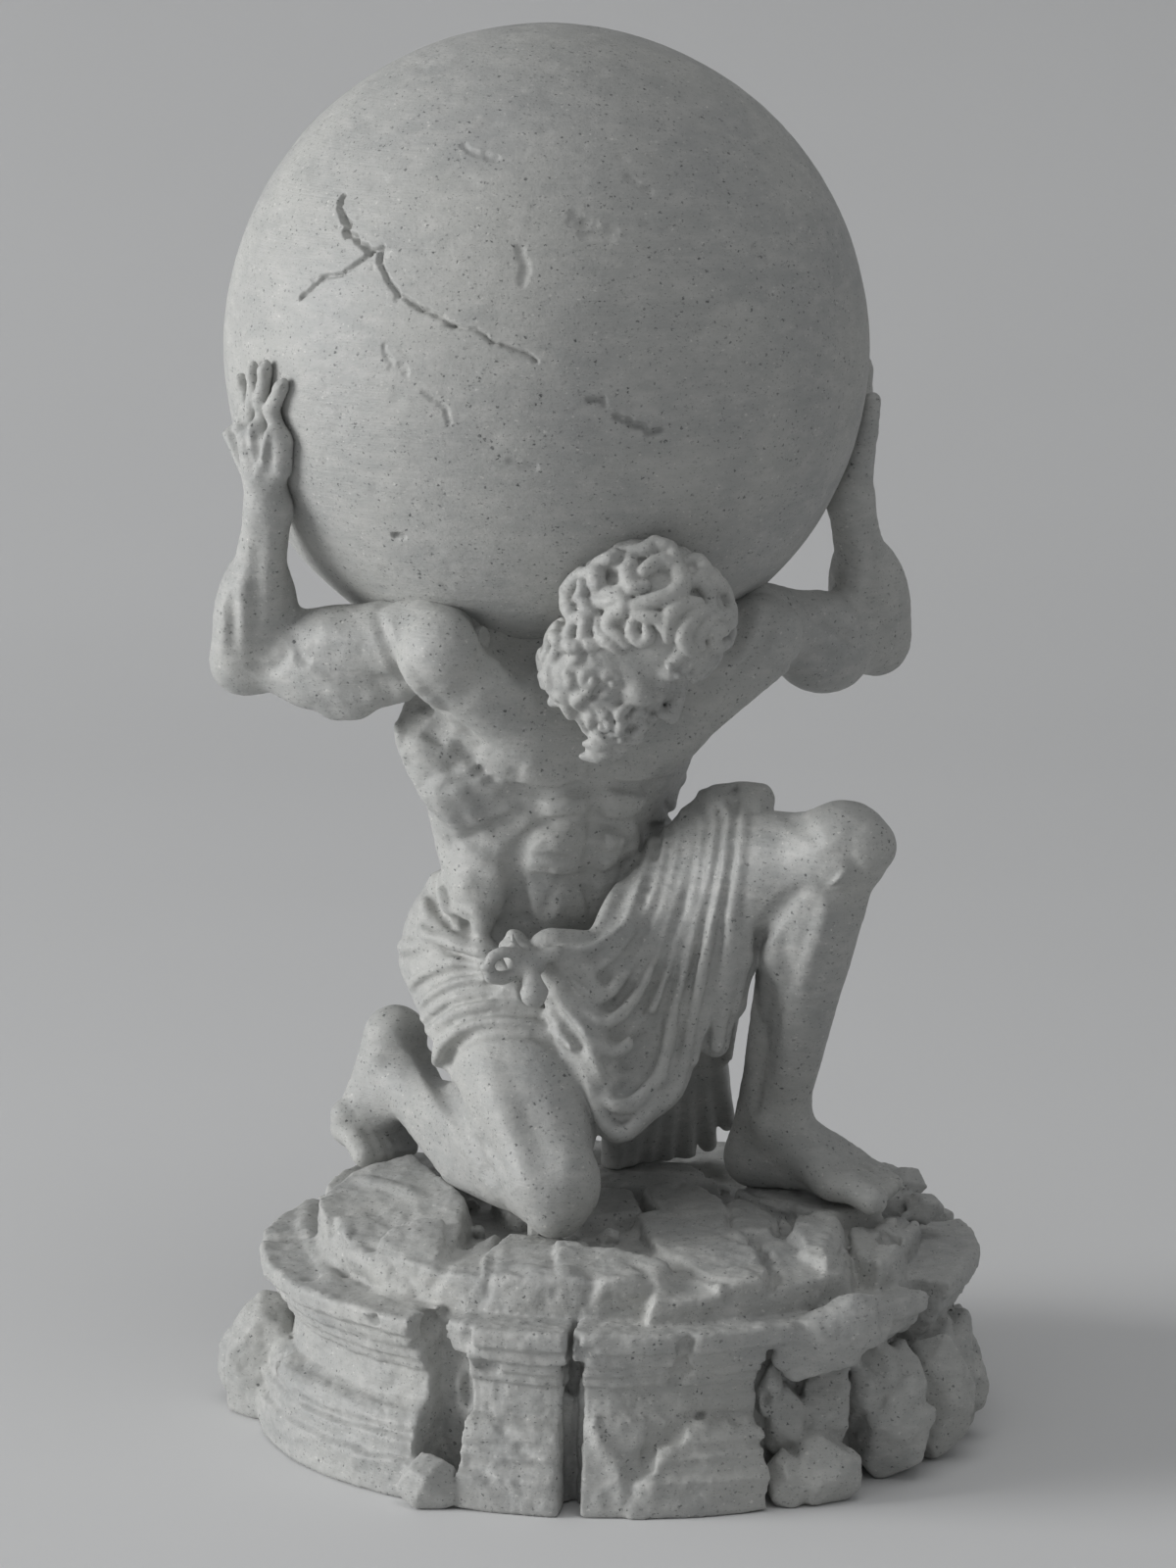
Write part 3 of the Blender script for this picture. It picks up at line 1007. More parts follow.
limb_marks = [
    # Right arm
    ([(318, 676), (340, 688), (372, 696), (396, 698), (424, 700)], 1.8, -1.2, True),
    ([(300, 646), (306, 668), (318, 676)], 1.6, -1.2, True),
    ([(386, 622), (398, 612), (420, 606)], 1.6, -0.9, True),
    ([(320, 650), (345, 650), (370, 662)], 3.4, 0.6),
    ([(330, 706), (362, 712), (400, 712)], 2.6, 0.7),
    ([(258, 676), (271, 685), (287, 676), (298, 656)], 1.5, -0.9, True),
    ([(266, 530), (263, 569), (260, 610), (258, 651)], 1.6, -0.25),
    ([(278, 540), (280, 580), (278, 625), (276, 655)], 2.8, 0.5),
    ([(236, 596), (238, 629), (239, 664)], 1.3, -0.5),
    ([(246, 590), (249, 625), (248, 660)], 1.6, 0.4),
    ([(228, 606), (228, 640), (227, 668)], 1.4, 0.4),
    ([(249, 436), (252, 460), (258, 480)], 0.9, -0.4),
    ([(261, 434), (262, 460), (265, 482)], 0.9, -0.4),
    ([(276, 438), (275, 462), (276, 484)], 0.9, -0.5),
    # Left arm
    ([(781, 617), (784, 633), (781, 648), (773, 666), (762, 679), (751, 690), (742, 705)], 1.6, -1.4, True),
    ([(772, 612), (775, 634), (768, 656), (754, 674), (738, 692)], 2.6, 0.7),
    ([(837, 625), (849, 634), (866, 650), (873, 656)], 1.6, -1.1, True),
    ([(820, 640), (837, 648), (856, 660), (876, 668)], 2.0, 0.7),
    ([(756, 696), (790, 682), (822, 672), (850, 668)], 1.4, -0.6, True),
    ([(800, 640), (815, 632), (828, 636)], 3.0, 0.5),
    ([(875, 522), (886, 548), (892, 574), (888, 601), (876, 633)], 1.8, -0.5),
    ([(905, 590), (908, 620), (908, 645)], 2.4, 0.5),
    # Right leg: the fold between calf and thigh, and the thigh's long ridge
    ([(419, 1050), (433, 1076), (453, 1108), (470, 1141), (486, 1175), (505, 1208),
      (516, 1236)], 2.6, -2.4, True),
    ([(440, 1060), (458, 1098), (478, 1136), (498, 1176), (516, 1210)], 2.4, 0.8),
    ([(487, 1062), (505, 1121), (526, 1175), (540, 1222)], 4.0, 0.8),
    # Left leg: the fold behind the knee, the kneecap, the calf and the shin's edge
    ([(826, 904), (808, 916), (792, 934), (778, 952), (768, 966)], 2.0, -1.2, True),
    ([(836, 880), (850, 874), (866, 876), (874, 888), (872, 904), (858, 914), (842, 908),
      (834, 894)], 1.5, -0.4),
    ([(852, 894), (858, 898)], 2.6, 0.8),
    ([(846, 916), (840, 940), (830, 972), (818, 1006), (808, 1040), (800, 1076), (794, 1110)], 2.0, 0.9),
    ([(806, 940), (800, 970), (806, 1000), (812, 1024), (804, 1058), (796, 1080)], 1.8, -0.9, True),
    ([(786, 965), (780, 990), (782, 1020), (788, 1046)], 3.2, 0.8),
    ([(866, 930), (856, 965), (842, 1005), (830, 1040)], 3.0, 0.5),
    ([(780, 1082), (774, 1110), (770, 1140)], 1.4, -0.7, True),
    ([(800, 830), (822, 846), (838, 862)], 1.8, -0.8, True),
    # Tendons and toes of the left foot
    ([(812, 1150), (836, 1170), (862, 1190), (882, 1206)], 1.2, 0.5),
    ([(826, 1150), (850, 1166), (880, 1186), (902, 1200)], 1.0, 0.5),
    ([(838, 1148), (868, 1166), (898, 1184)], 1.0, 0.4),
    ([(872, 1198), (888, 1206), (904, 1216)], 0.8, -0.8, True),
    ([(884, 1192), (900, 1199), (914, 1207)], 0.8, -0.8, True),
    ([(893, 1185), (908, 1191), (922, 1198)], 0.8, -0.8, True),
    ([(534, 1113), (548, 1165), (556, 1208)], 3.4, -0.5),
    ([(585, 1130), (592, 1180), (586, 1220)], 3.6, 0.4),
]


def cloth_marks():
    """Folds of the cloth: crests, and a crease between each two of the swag."""
    crests = [
        [(668, 850), (659, 893), (648, 925), (634, 950), (610, 966), (578, 971), (551, 968)],
        [(680, 848), (672, 888), (664, 917), (650, 944), (634, 966), (613, 983), (595, 984),
         (570, 980), (551, 977)],
        [(693, 846), (688, 880), (680, 912), (670, 940), (651, 976), (634, 1000), (618, 1017), (602, 1014),
         (584, 1000), (557, 985)],
        [(704, 842), (699, 885), (688, 928), (672, 971), (656, 1005), (637, 1032), (618, 1043), (600, 1033),
         (578, 1014), (554, 993)],
        [(716, 838), (710, 891), (701, 934), (685, 982), (669, 1018), (656, 1047), (637, 1070), (621, 1073),
         (602, 1057), (578, 1030), (551, 1003)],
        [(730, 835), (723, 880), (712, 934), (699, 982), (685, 1028), (678, 1064), (677, 1094), (668, 1122),
         (652, 1143), (632, 1157), (616, 1149), (606, 1121), (596, 1085), (574, 1048)],
    ]
    over = [(line, 1.6, 1.0) for line in crests]
    for a, b in zip(crests, crests[1:]):
        a, b = curve(a, 6), curve(b, 6)
        share = np.linspace(0, 1, 16)
        middle = [mix(a[int(t * (len(a) - 1))], b[int(t * (len(b) - 1))], 0.5) for t in share]
        over.append((middle, 1.5, -1.9, True))
    over += [
        ([(745, 832), (739, 880), (729, 930), (718, 985), (706, 1040), (698, 1085)], 1.6, 0.9),
        ([(737, 834), (731, 882), (720, 934), (708, 985), (696, 1035), (689, 1085)], 1.3, -1.3, True),
        ([(758, 830), (755, 880), (747, 930), (738, 985), (728, 1035)], 1.5, 0.9),
        ([(751, 832), (747, 880), (738, 930), (728, 985), (717, 1038), (707, 1080)], 1.2, -1.2, True),
    ]
    marks = [
        ([(665, 1028), (661, 1051), (652, 1078), (641, 1098)], 3.0, -3.4),
        # Hem on the right thigh
        ([(447, 1108), (445, 1084), (454, 1063), (472, 1050), (492, 1043), (530, 1043), (556, 1047),
          (576, 1061), (594, 1069)], 1.2, 0.8),
        ([(456, 1110), (456, 1088), (463, 1071), (477, 1060), (494, 1053), (530, 1053), (551, 1057),
          (570, 1071), (590, 1080)], 1.5, -1.7, True),
        # Right hip: folds that sweep from the waist to the knot and round the thigh
        ([(428, 915), (442, 939), (460, 958), (478, 966)], 1.5, 0.9),
        ([(434, 905), (450, 934), (466, 950)], 1.2, -0.8, True),
        ([(422, 945), (440, 955), (470, 968), (500, 974)], 1.3, 0.7),
        ([(420, 962), (445, 966), (475, 978), (500, 984)], 1.2, -0.8, True),
        ([(421, 985), (450, 978), (480, 984), (505, 992)], 1.4, 0.8),
        ([(423, 1010), (442, 998), (468, 990), (500, 994)], 1.2, -0.9, True),
        ([(426, 1030), (442, 1014), (468, 1001), (500, 999), (520, 1003)], 1.3, 0.9),
        ([(424, 1038), (441, 1022), (464, 1010), (493, 1005), (517, 1008)], 1.1, -0.9, True),
        ([(426, 1046), (441, 1031), (462, 1018), (493, 1012), (520, 1013), (545, 1020)], 1.2, 0.9),
        ([(428, 1052), (445, 1037), (466, 1025), (498, 1018), (530, 1018), (552, 1026)], 1.0, -0.8, True),
        ([(430, 1060), (447, 1044), (471, 1031), (501, 1025), (530, 1025), (556, 1034),
          (576, 1050)], 1.2, 0.8),
        ([(434, 1072), (450, 1054), (474, 1040), (501, 1034), (532, 1034), (556, 1042)], 1.1, -0.6, True),
        ([(440, 1090), (446, 1070), (458, 1055), (474, 1044)], 1.2, 0.6),
        # Folds that hang to the inner side of the right thigh
        ([(560, 1000), (580, 1026), (596, 1052), (606, 1082), (614, 1108)], 1.4, 0.8),
        ([(556, 1012), (574, 1038), (588, 1062), (596, 1090)], 1.2, -0.9, True),
    ]
    return over, marks


def build_man():
    body = trunk_form()
    arm_r = arm_form(shoulder_r, elbow_r, wrist_r, "right")
    arm_l = arm_form(shoulder_l, elbow_l, wrist_l, "left")
    build_hands(arm_r, arm_l)
    thigh_r, shin_r = leg_form(hip_r, knee_r, ankle_r, 0.8, "right", vec(-1, 0, 0.2))
    thigh_l, shin_l = leg_form(hip_l, knee_l, ankle_l, 2.2, "left", vec(0.6, 0.8, 0))
    foot_r, foot_l = feet()
    for form, soft, name in (
            (body, 0, "torso"), (arm_r, 0.7, None), (arm_l, 0.7, None), (thigh_r, 1, "right_thigh"),
            (thigh_l, 1, "left_thigh"), (shin_r, 0.8, "right_shin"), (shin_l, 1.6, "left_shin"),
            (foot_r, 2, "right_foot"), (foot_l, 2, "left_foot")):
        take(form, soft, name)
    # The cloth is shaped on the body, so each form is made when what is under it is there
    for make, soft, name in ((wrap_form, 0.5, "drape_hips"), (swag_form, 0.5, "drape_swag"),
                             (tail_form, 0.5, "drape_tail"), (knot_form, 0.25, "belt_knot")):
        take(make(), soft, name)
    man.sculpt(torso_marks)
    man.sculpt(limb_marks)
    over, marks = cloth_marks()
    man.sculpt(over, ((-5, 22, -1), (-2.5, 14, 0.5), (-1, 6, 0.5)))
    man.sculpt(marks)
    man.carve(ball, 0.3, -0.3)
    # He ends flat, a little inside the slabs that he kneels on
    heights = man.low[2] + man.cell * np.arange(man.count[2])
    man.field = np.maximum(man.field, (GROUND - 0.2 - heights).astype(np.float32)[None, None, :])


def take(form, soft, owner):
    """Melts a form into the man. A form without one owner brings its own."""
    cut = tuple(slice(f, f + n) for f, n in zip(form.first, form.count))
    low = [max(s.start, 0) for s in cut]
    high = [min(s.stop, int(c)) for s, c in zip(cut, man.count)]
    here = tuple(slice(a, b) for a, b in zip(low, high))
    there = tuple(slice(a - s.start, b - s.start) for a, b, s in zip(low, high, cut))
    d = form.field[there]
    if owner is None:
        for index, name in enumerate(form.names):
            mine = np.where(form.owner[there] == index, d, FAR)
            man.own(here, mine, name)
    else:
        man.own(here, d, owner)
    man.field[here] = melt(man.field[here], d, soft)


def skin_grain(points):
    return 0.05 * values_noise(points, 1.1, 5) + 0.03 * values_noise(points * (0.3, 0.3, 1), 0.45, 6)


build_man()
cast(man, skin_grain)


# Head


def lock(form, centre, out, turn, size, hand, thick):
    """A curl: an open ring of hair that winds up from the scalp."""
    side = np.cross(out, vec(0.3, 0.2, 1))
    side = side / np.linalg.norm(side)
    up = np.cross(out, side)
    points = []
    for t in np.linspace(0, 1, 15):
        a = turn + hand * 2 * math.pi * t
        reach = size * (1 - 0.55 * t)
        points.append(centre + reach * (math.cos(a) * side + math.sin(a) * up) + out * (t - 0.4))
    form.add(Rope(points, [thick * 0.6, thick, thick, thick * 0.8]), 0.45, "head")


def tress(form, centre, out, along, length, sway, thick, phase):
    """An S-shaped lock that lies along the scalp."""
    along = along - out * (along @ out)
    along = along / np.linalg.norm(along)
    side = np.cross(out, along)
    points = []
    for t in np.linspace(0, 1, 12):
        wave = side * (sway * math.sin(2 * math.pi * t + phase))
        rise = out * (1.1 * math.sin(math.pi * t) - 0.5)
        points.append(centre + along * length * (t - 0.5) + wave + rise)
    form.add(Rope(points, [thick * 0.5, thick, thick * 1.05, thick, thick * 0.5]), 0.45, "head")


# Locks of the hair by points of the view, with their thickness
seen_locks = [
    ([(645, 563), (656, 563), (668, 558), (681, 562), (689, 571)], 1.0),
    ([(697, 575), (708, 573), (718, 585), (727, 594), (737, 604), (742, 612)], 1.0),
    ([(629, 569), (613, 577), (608, 591), (613, 603), (628, 606), (636, 600)], 1.0),
    ([(605, 585), (592, 589), (582, 604), (582, 619), (589, 630), (600, 628)], 0.95),
    ([(643, 572), (641, 588), (647, 600), (659, 599)], 1.0),
    ([(597, 596), (595, 610), (601, 623), (609, 631)], 0.8),
    ([(608, 613), (624, 615), (635, 611), (638, 620), (627, 627), (624, 637), (629, 648), (640, 657)], 0.95),
    ([(611, 634), (613, 645), (621, 655), (630, 661)], 0.8),
    ([(598, 635), (597, 648), (603, 658), (613, 658)], 0.85),
    ([(584, 638), (580, 651), (586, 661), (595, 659)], 0.85),
    ([(570, 640), (568, 652), (574, 662)], 0.8),
    ([(707, 594), (713, 592), (720, 600), (723, 613), (726, 626)], 0.9),
    ([(745, 616), (740, 629), (729, 632)], 0.9),
    ([(649, 626), (660, 629), (671, 631), (675, 640)], 0.8),
    ([(646, 635), (646, 645), (656, 653), (663, 648), (660, 640)], 0.8),
    ([(748, 632), (736, 641), (727, 648), (731, 657), (740, 654), (746, 643)], 0.85),
    ([(727, 635), (718, 640), (710, 650), (713, 660)], 0.9),
    ([(724, 625), (711, 627), (702, 636), (697, 647), (699, 658), (705, 665)], 1.0),
    ([(710, 617), (697, 618), (686, 625), (681, 637), (681, 650)], 1.05),
    ([(657, 586), (667, 578), (681, 577), (692, 588), (694, 600), (684, 609), (668, 613), (649, 618)], 1.15),
]


def build_head():
    head = Lattice(head_mid - 21, head_mid + 21, HEAD_CELL)

    def egg(l, f, u, radii, soft):
        head.add(Egg(on_head(l, f, u), head_turn, *radii), soft, "head")

    def rope(points, radii, soft):
        head.add(Rope(points, radii), soft, "head")

    egg(0, -1.2, 3.4, (7.9, 9.7, 8.4), 2)
    egg(0, 2.8, -3.4, (6.2, 5.8, 8.2), 2)
    egg(0, 4.6, -9, (4.2, 3.8, 3.2), 1.5)
    head.add(Rod(skull_base, mix(skull_base, collar, 0.35), 5, 5.4), 2, "head")
    # Brow, nose, cheeks, lids and lips
    head.add(Rod(on_head(-4.2, 6.7, 1.9), on_head(4.2, 6.7, 1.9), 1.5), 1.0, "head")
    nose = [on_head(0, 8.0, 1.0), on_head(0, 9.6, -1.8), on_head(0, 10.4, -4.2)]
    rope(nose, [0.95, 0.95, 1.25], 0.8)
    for s in (-1, 1):
        head.carve(Egg(on_head(3.2 * s, 9.2, -0.6), head_turn, 2.1, 1.9, 1.5), 0.9)
        egg(3.1 * s, 6.6, -0.5, (1.7, 1.5, 1.25), 0.4)
        lid = [on_head(3.1 * s + dx, 8.0 - 0.12 * dx * dx, -0.9 + 0.06 * dx * dx)
               for dx in (-1.6, -0.8, 0, 0.8, 1.6)]
        rope(lid, [0.25, 0.34, 0.25], 0.15)
        egg(4.6 * s, 5.4, -3.2, (2.5, 2.5, 2.1), 1.2)
        egg(2.0 * s, 6.6, -3.4, (1.7, 1.7, 2.2), 1.0)
        egg(1.25 * s, 9.3, -4.5, (0.85, 1.0, 0.8), 0.5)
        ear = [on_head(6.9 * s, -0.2, 1.2), on_head(7.6 * s, -1.3, 0.6), on_head(7.4 * s, -1.3, -2.2)]
        rope(ear + [on_head(6.9 * s, 0, -3)], 0.8, 0.4)
    for u, half, r in ((-6.5, 1.9, 0.75), (-7.7, 1.6, 0.8)):
        lip = [on_head(-half, 7.7, u), on_head(0, 8.7, u + 0.1), on_head(half, 7.7, u)]
        rope(lip, [0.4, r, 0.4], 0.4)
    egg(0, 6.6, -7.2, (2.8, 1.7, 1.6), 0.6)
    # Hair, then the band behind his right ear, then the beard
    draw = np.random.default_rng(11)
    hair = (8.5, 10.3, 9.1)
    scalp = on_head(0, -1.4, 3.6)
    egg(0, -0.2, 5.6, (7.9, 8.7, 6.4), 1.2)
    egg(0, -1.8, 5.2, (8.3, 9.8, 7.4), 1.2)
    egg(-3.4, -1.5, -1.6, (4.6, 6.5, 4.5), 1.5)
    curls(head, 210, scalp, hair, 1.5, 1.0, under_hair, draw, 0.5)
    egg(-4, -2.5, -7, (4.6, 5.5, 6.5), 2)
    curls(head, 60, on_head(-2.1, -2, -6), (6.0, 7.0, 7.6), 1.3, 0.8, behind_ear, draw, 2)
    rope([on_head(0, 6.5, -12), on_head(-0.6, 6, -15)], [2.8, 1.7], 1.5)
    egg(0, 3.3, -9.3, (5.5, 5.2, 4.7), 1.2)
    curls(head, 90, on_head(0, 3.4, -7.2), (6.2, 6.0, 6.4), 1.1, 0.72, under_beard, draw, 2)
    for l, f, u, r in ((-0.4, 7.4, -13.6, 1.4), (-1.6, 6.4, -15, 1.2), (0.9, 6.4, -15.2, 1.1),
                       (-3, 5.6, -13, 1.3), (2.4, 6, -12.8, 1.3)):
        egg(l, f, u, (r, r, r), 0.6)
        strand = [on_head(l, f + 1, u + 1), on_head(l + 0.5, f + 0.7, u - 0.6)]
        strand.append(on_head(l * 0.7 - 0.3, f - 0.8, u - 2.4))
        rope(curve(strand, 4), [1.2, 1.3, 0.5], 0.4)
    # Moustache: two drooping strands on each side
    for s in (-1, 1):
        for k in range(2):
            strand = [on_head(0.4 * s, 9.2 - 0.3 * k, -5.7 - 0.3 * k),
                      on_head((2.2 + k) * s, 8.3 - 0.5 * k, -6.3)]
            strand.append(on_head((3.6 + 0.5 * k) * s, 6.8, -8.2 - 0.8 * k))
            rope(curve(strand, 4), [0.5, 0.75, 0.4], 0.2)
    # Long locks over the forehead, then the locks in full view
    for k in range(9):
        l = -6.4 + 1.6 * k
        low = 0.5 * (k % 2)
        line = [on_head(l * 0.9, 6.2 - 0.06 * l * l, 8.6), on_head(l + 0.5, 8.9 - 0.07 * l * l, 6.0),
                on_head(l + 0.9, 9.3 - 0.075 * l * l, 3.6 - low),
                on_head(l + 0.1, 9.6 - 0.075 * l * l, 3 - low)]
        rope(curve(line, 4), [0.9, 1.15, 1.0, 0.7], 0.25)
    laid = [head.snap(np.array([head.hit(*p) for p in curve(line, 3)]), 0.35) for line, _ in seen_locks]
    for path, (_, thick) in zip(laid, seen_locks):
        rope(path, [thick, thick * 1.3, thick * 1.3, thick * 0.85], 0.35)
    head.carve(ball, 0.3, -0.3)
    return head


def under_hair(l, f, up):
    return up > 0.42 * f + 0.05 + 0.25 * f * f or f < -0.1


def behind_ear(l, f, up):
    return l < 0.2 and up < 0.6


def under_beard(l, f, up):
    return f > -0.35 and up < 0.25 and (up < -0.3 or abs(l) > 0.5)


def curls(form, count, centre, radii, size, thick, wanted, draw, bare):
    """Curls and S-shaped locks over the wanted parts of an egg. Where it faces the camera by more than bare,
    as a cosine, there are none."""
    for i in range(count):
        up = 1 - (2 * i + 1) / count
        ring = math.sqrt(1 - up * up)
        l, f = ring * math.cos(i * GOLDEN_ANGLE), ring * math.sin(i * GOLDEN_ANGLE)
        turn, hand, kind = draw.uniform(0, 2 * math.pi), draw.choice((-1, 1)), draw.uniform()
        grow = draw.uniform(0.85, 1.15)
        tuft = spot(centre, head_turn, l * radii[0], f * radii[1], up * radii[2])
        out = unit(centre, tuft)
        if not wanted(l, f, up) or out @ unit(tuft, EYE) > bare:
            continue
        form.add(Egg(tuft - out * 0.9, np.eye(3), size * 0.9, size * 0.9, size * 0.9), 0.6, "head")
        if kind < 0.45:
            lock(form, tuft, out, turn, size * grow, hand, thick)
        else:
            swing = math.cos(turn) * head_turn[0] * 0.7 - head_turn[2] * 0.8 + head_turn[1] * 0.4
            tress(form, tuft, out, swing, size * 3.4 * grow, size * 0.55 * hand, thick, turn)


cast(build_head(), lambda points: 0.035 * values_noise(points, 0.8, 9))


# Globe


def globe_marks():
    """Cracks, pits and dents: points on the globe, with a width and a depth in millimetres."""
    cracks = [
        ([(350, 201), (347, 214), (356, 228), (353, 236), (361, 243), (379, 257)], 0.6, 1.2),
        ([(379, 257), (372, 263), (356, 275), (346, 281), (329, 283), (317, 296), (307, 303)], 0.42, 0.8),
        ([(379, 257), (391, 254), (387, 266), (392, 277), (405, 299), (416, 306), (432, 317), (446, 322),
          (463, 333)], 0.45, 0.9),
        ([(463, 333), (486, 337), (498, 346), (512, 353), (530, 358), (548, 368)], 0.36, 0.7),
        ([(628, 428), (640, 429), (645, 434), (658, 437), (672, 440)], 0.7, 1.0),
        ([(600, 409), (608, 408), (616, 411)], 0.6, 0.8),
        ([(404, 547), (410, 548)], 0.6, 0.9),
        ([(533, 255), (536, 272), (533, 290)], 0.8, 0.35),
        ([(585, 222), (600, 235), (622, 238)], 1.4, 0.4),
        ([(392, 360), (402, 372), (414, 382)], 0.7, 0.3),
        ([(474, 150), (488, 158), (505, 160)], 0.7, 0.3),
        ([(640, 180), (662, 196)], 0.8, 0.35),
        ([(430, 400), (452, 412), (458, 430)], 0.5, 0.3),
        ([(700, 330), (716, 344)], 0.7, 0.3),
        ([(770, 250), (782, 268)], 0.8, 0.35),
        ([(520, 470), (545, 478)], 0.7, 0.3),
    ]
    return [([on_ball(*p) for p in line], width, depth) for line, width, depth in cracks]


def build_globe():
    mesh = bmesh.new()
    bmesh.ops.create_cube(mesh, size=2)
    bmesh.ops.subdivide_edges(mesh, edges=mesh.edges[:], cuts=87, use_grid_fill=True)
    for v in mesh.verts:
        v.co = v.co.normalized()
    draw = np.random.default_rng(31)
    marks = []
    for line, width, depth in globe_marks():
        rough = [q + draw.normal(size=3) * min(0.2, width * 0.3) for q in curve(line, 3)]
        marks.append((rough, width, depth))
    coordinates = np.array([v.co[:] for v in mesh.verts]) * GLOBE_RADIUS + globe
    fine = np.zeros(len(coordinates), bool)
    for line, width, _ in marks:
        for p in line:
            fine |= ((coordinates - p) ** 2).sum(1) < (width + 1.3) ** 2
    mesh.verts.ensure_lookup_table()
    edges = [e for e in mesh.edges if fine[e.verts[0].index] and fine[e.verts[1].index]]
    bmesh.ops.subdivide_edges(mesh, edges=edges, cuts=3, use_grid_fill=True)
    for v in mesh.verts:
        v.co = v.co.normalized()
    bmesh.ops.recalc_face_normals(mesh, faces=mesh.faces[:])
    way = np.array([v.co[:] for v in mesh.verts])
    p = way * GLOBE_RADIUS + globe
    depth = 0.10 * values_noise(p, 9, 21) + 0.05 * values_noise(p, 3.4, 22) + 0.02 * values_noise(p, 1.2, 23)
    depth -= 0.22 * np.clip((values_noise(p, 1.7, 25) - 0.62) / 0.2, 0, 1)
    wobble = 0.22 * values_noise(p, 0.8, 24)
    for line, width, deep in marks:
        near = np.full(len(p), FAR)
        for a, b in zip(line, line[1:]):
            near = np.minimum(near, Rod(a, b, 0.0).distance(p[:, 0], p[:, 1], p[:, 2]))
        near = near + wobble * width
        depth -= deep * np.clip(1 - near / width, 0, 1) ** 0.7
    place = (globe + way * (GLOBE_RADIUS + depth)[:, None]) * MM
    for v, co in zip(mesh.verts, place):
        v.co = co
    data = bpy.data.meshes.new("stone_globe")
    mesh.to_mesh(data)
    mesh.free()
    data.shade_smooth()
    dress(data, "globe")


build_globe()


# Pedestal

# Profiles of the wall, as radius and height, then each block's profile with its first and last angle.
# The blocks begin at one inner radius, and cuts reach beyond the wall.
WALL_INNER, OUTSIDE = 43, 60
wall_profile = [(52, 0), (52, 5.2), (50.9, 5.8), (51.1, 8.2), (50.2, 8.7), (50.4, 10), (49.4, 11.6),
                (47.8, 12.6), (47.0, 13), (46.7, 17.2), (47.6, 17.7), (47.8, 18.9), (48.6, 19.3),
                (48.8, 20.5), (50.0, 21.1), (50.2, 22.8), (51.5, 23.3), (51.7, 25.4), (51.2, 26)]
upper_profile = [(46.6, 13), (47.2, 13.6)] + [p for p in wall_profile if p[1] > 14]
short_profile = [(46.6, 16.5), (47.4, 17.2)] + [p for p in wall_profile if p[1] > 17.5]
mid_profile = [(46.6, 15), (47.2, 15.6)] + [p for p in wall_profile if p[1] > 16]
raw_profile = [(45.6, 0), (46.8, 4), (46.2, 7), (46.8, 10), (46, 12.8)]
foot_profile = [p for p in wall_profile if p[1] < 12.8]
walls = {
    "wall_left": (wall_profile, -179, -124.5),
    "wall_front_left": (wall_profile, -116, -98.5),
    "wall_front_right": (upper_profile, -97.6, -56),
    "wall_front_rubble": (raw_profile, -97.6, -56),
    "wall_right_cornice": (short_profile, -54, -33),
    "wall_far_right": (upper_profile, -26, 14),
    "wall_back_right": (wall_profile, 18, 62),
    "wall_back": (wall_profile, 64, 108),
    "wall_back_left": (wall_profile, 110, 150),
    "wall_rear_left": (mid_profile, 152, 178),
}
# Bodies of the slabs: x, y, width, depth, height against the ground, turn in degrees and tilt
slabs = {
    "knee_slab": (-9, -25, 31, 20, 0, 4, 0, 0),
    "toe_slab": (-33, 15, 23, 27, 0, 10, 0, 0),
    "step_slab": (28, -2, 36, 23, 0, -38, 0, 0),
    "centre_slab": (1, 12, 40, 32, 0, 20, 0, 0),
    "left_slab": (-31, -13, 32, 29, -1, 40, 0.05, 0.04),
    "inner_slab": (6, -13, 27, 20, -0.7, -20, 0, 0.06),
    "front_slab": (13, -30, 26, 17, -1.6, 8, 0, 0.1),
    "right_slab": (29, -24, 20, 18, -2.4, 30, -0.08, 0.1),
    "far_slab": (35, 16, 23, 25, -1.4, 10, -0.08, 0),
    "back_slab": (14, 34, 32, 20, -2, -25, 0, -0.08),
    "rear_slab": (-15, 32, 32, 23, -1.6, 12, 0, -0.08),
    "rim_slab_left": (-13, -38.5, 25, 12, -3.4, -8, 0, 0.1),
    "rim_slab_right": (10, -39.5, 25, 11, -4, 8, 0, 0.12),
}
# Centre and radii
boulders = {
    "boulder_right_front": (37, -30, 9, 7, 7, 11),
    "boulder_right": (45, -10.5, 9, 7.6, 10, 11),
    "boulder_right_back": (47.5, 9, 6.5, 6.6, 8, 7.5),
    "boulder_front": (27.6, -41.5, 4, 5.8, 5.4, 5.4),
    "boulder_left": (-50, 3.5, 7, 8.6, 9, 9.6),
    "boulder_left_back": (-46, 17, 5, 8, 8, 8),
}


class Boulder:
    """A broken stone: flat facets round a squashed ball."""

    def __init__(self, centre, radii, seed, facets=16):
        draw = np.random.default_rng(seed)
        self.centre, self.radii = np.array(centre, float), np.array(radii, float)
        self.facets = []
        for i in range(facets):
            up = 1 - (2 * i + 1) / facets
            ring = math.sqrt(1 - up * up)
            a = i * GOLDEN_ANGLE + seed
            self.facets.append((ring * math.cos(a), ring * math.sin(a), up, draw.uniform(0.7, 1.0)))
        self.low, self.high = self.centre - self.radii * 1.2, self.centre + self.radii * 1.2

    def distance(self, x, y, z):
        q = [(p - c) / r for p, c, r in zip((x, y, z), self.centre, self.radii)]
        d = None
        for nx, ny, nz, c in self.facets:
            e = q[0] * nx + q[1] * ny + q[2] * nz - c
            d = e if d is None else -melt(-d, -e, 0.07)
        return d * float(self.radii.mean())


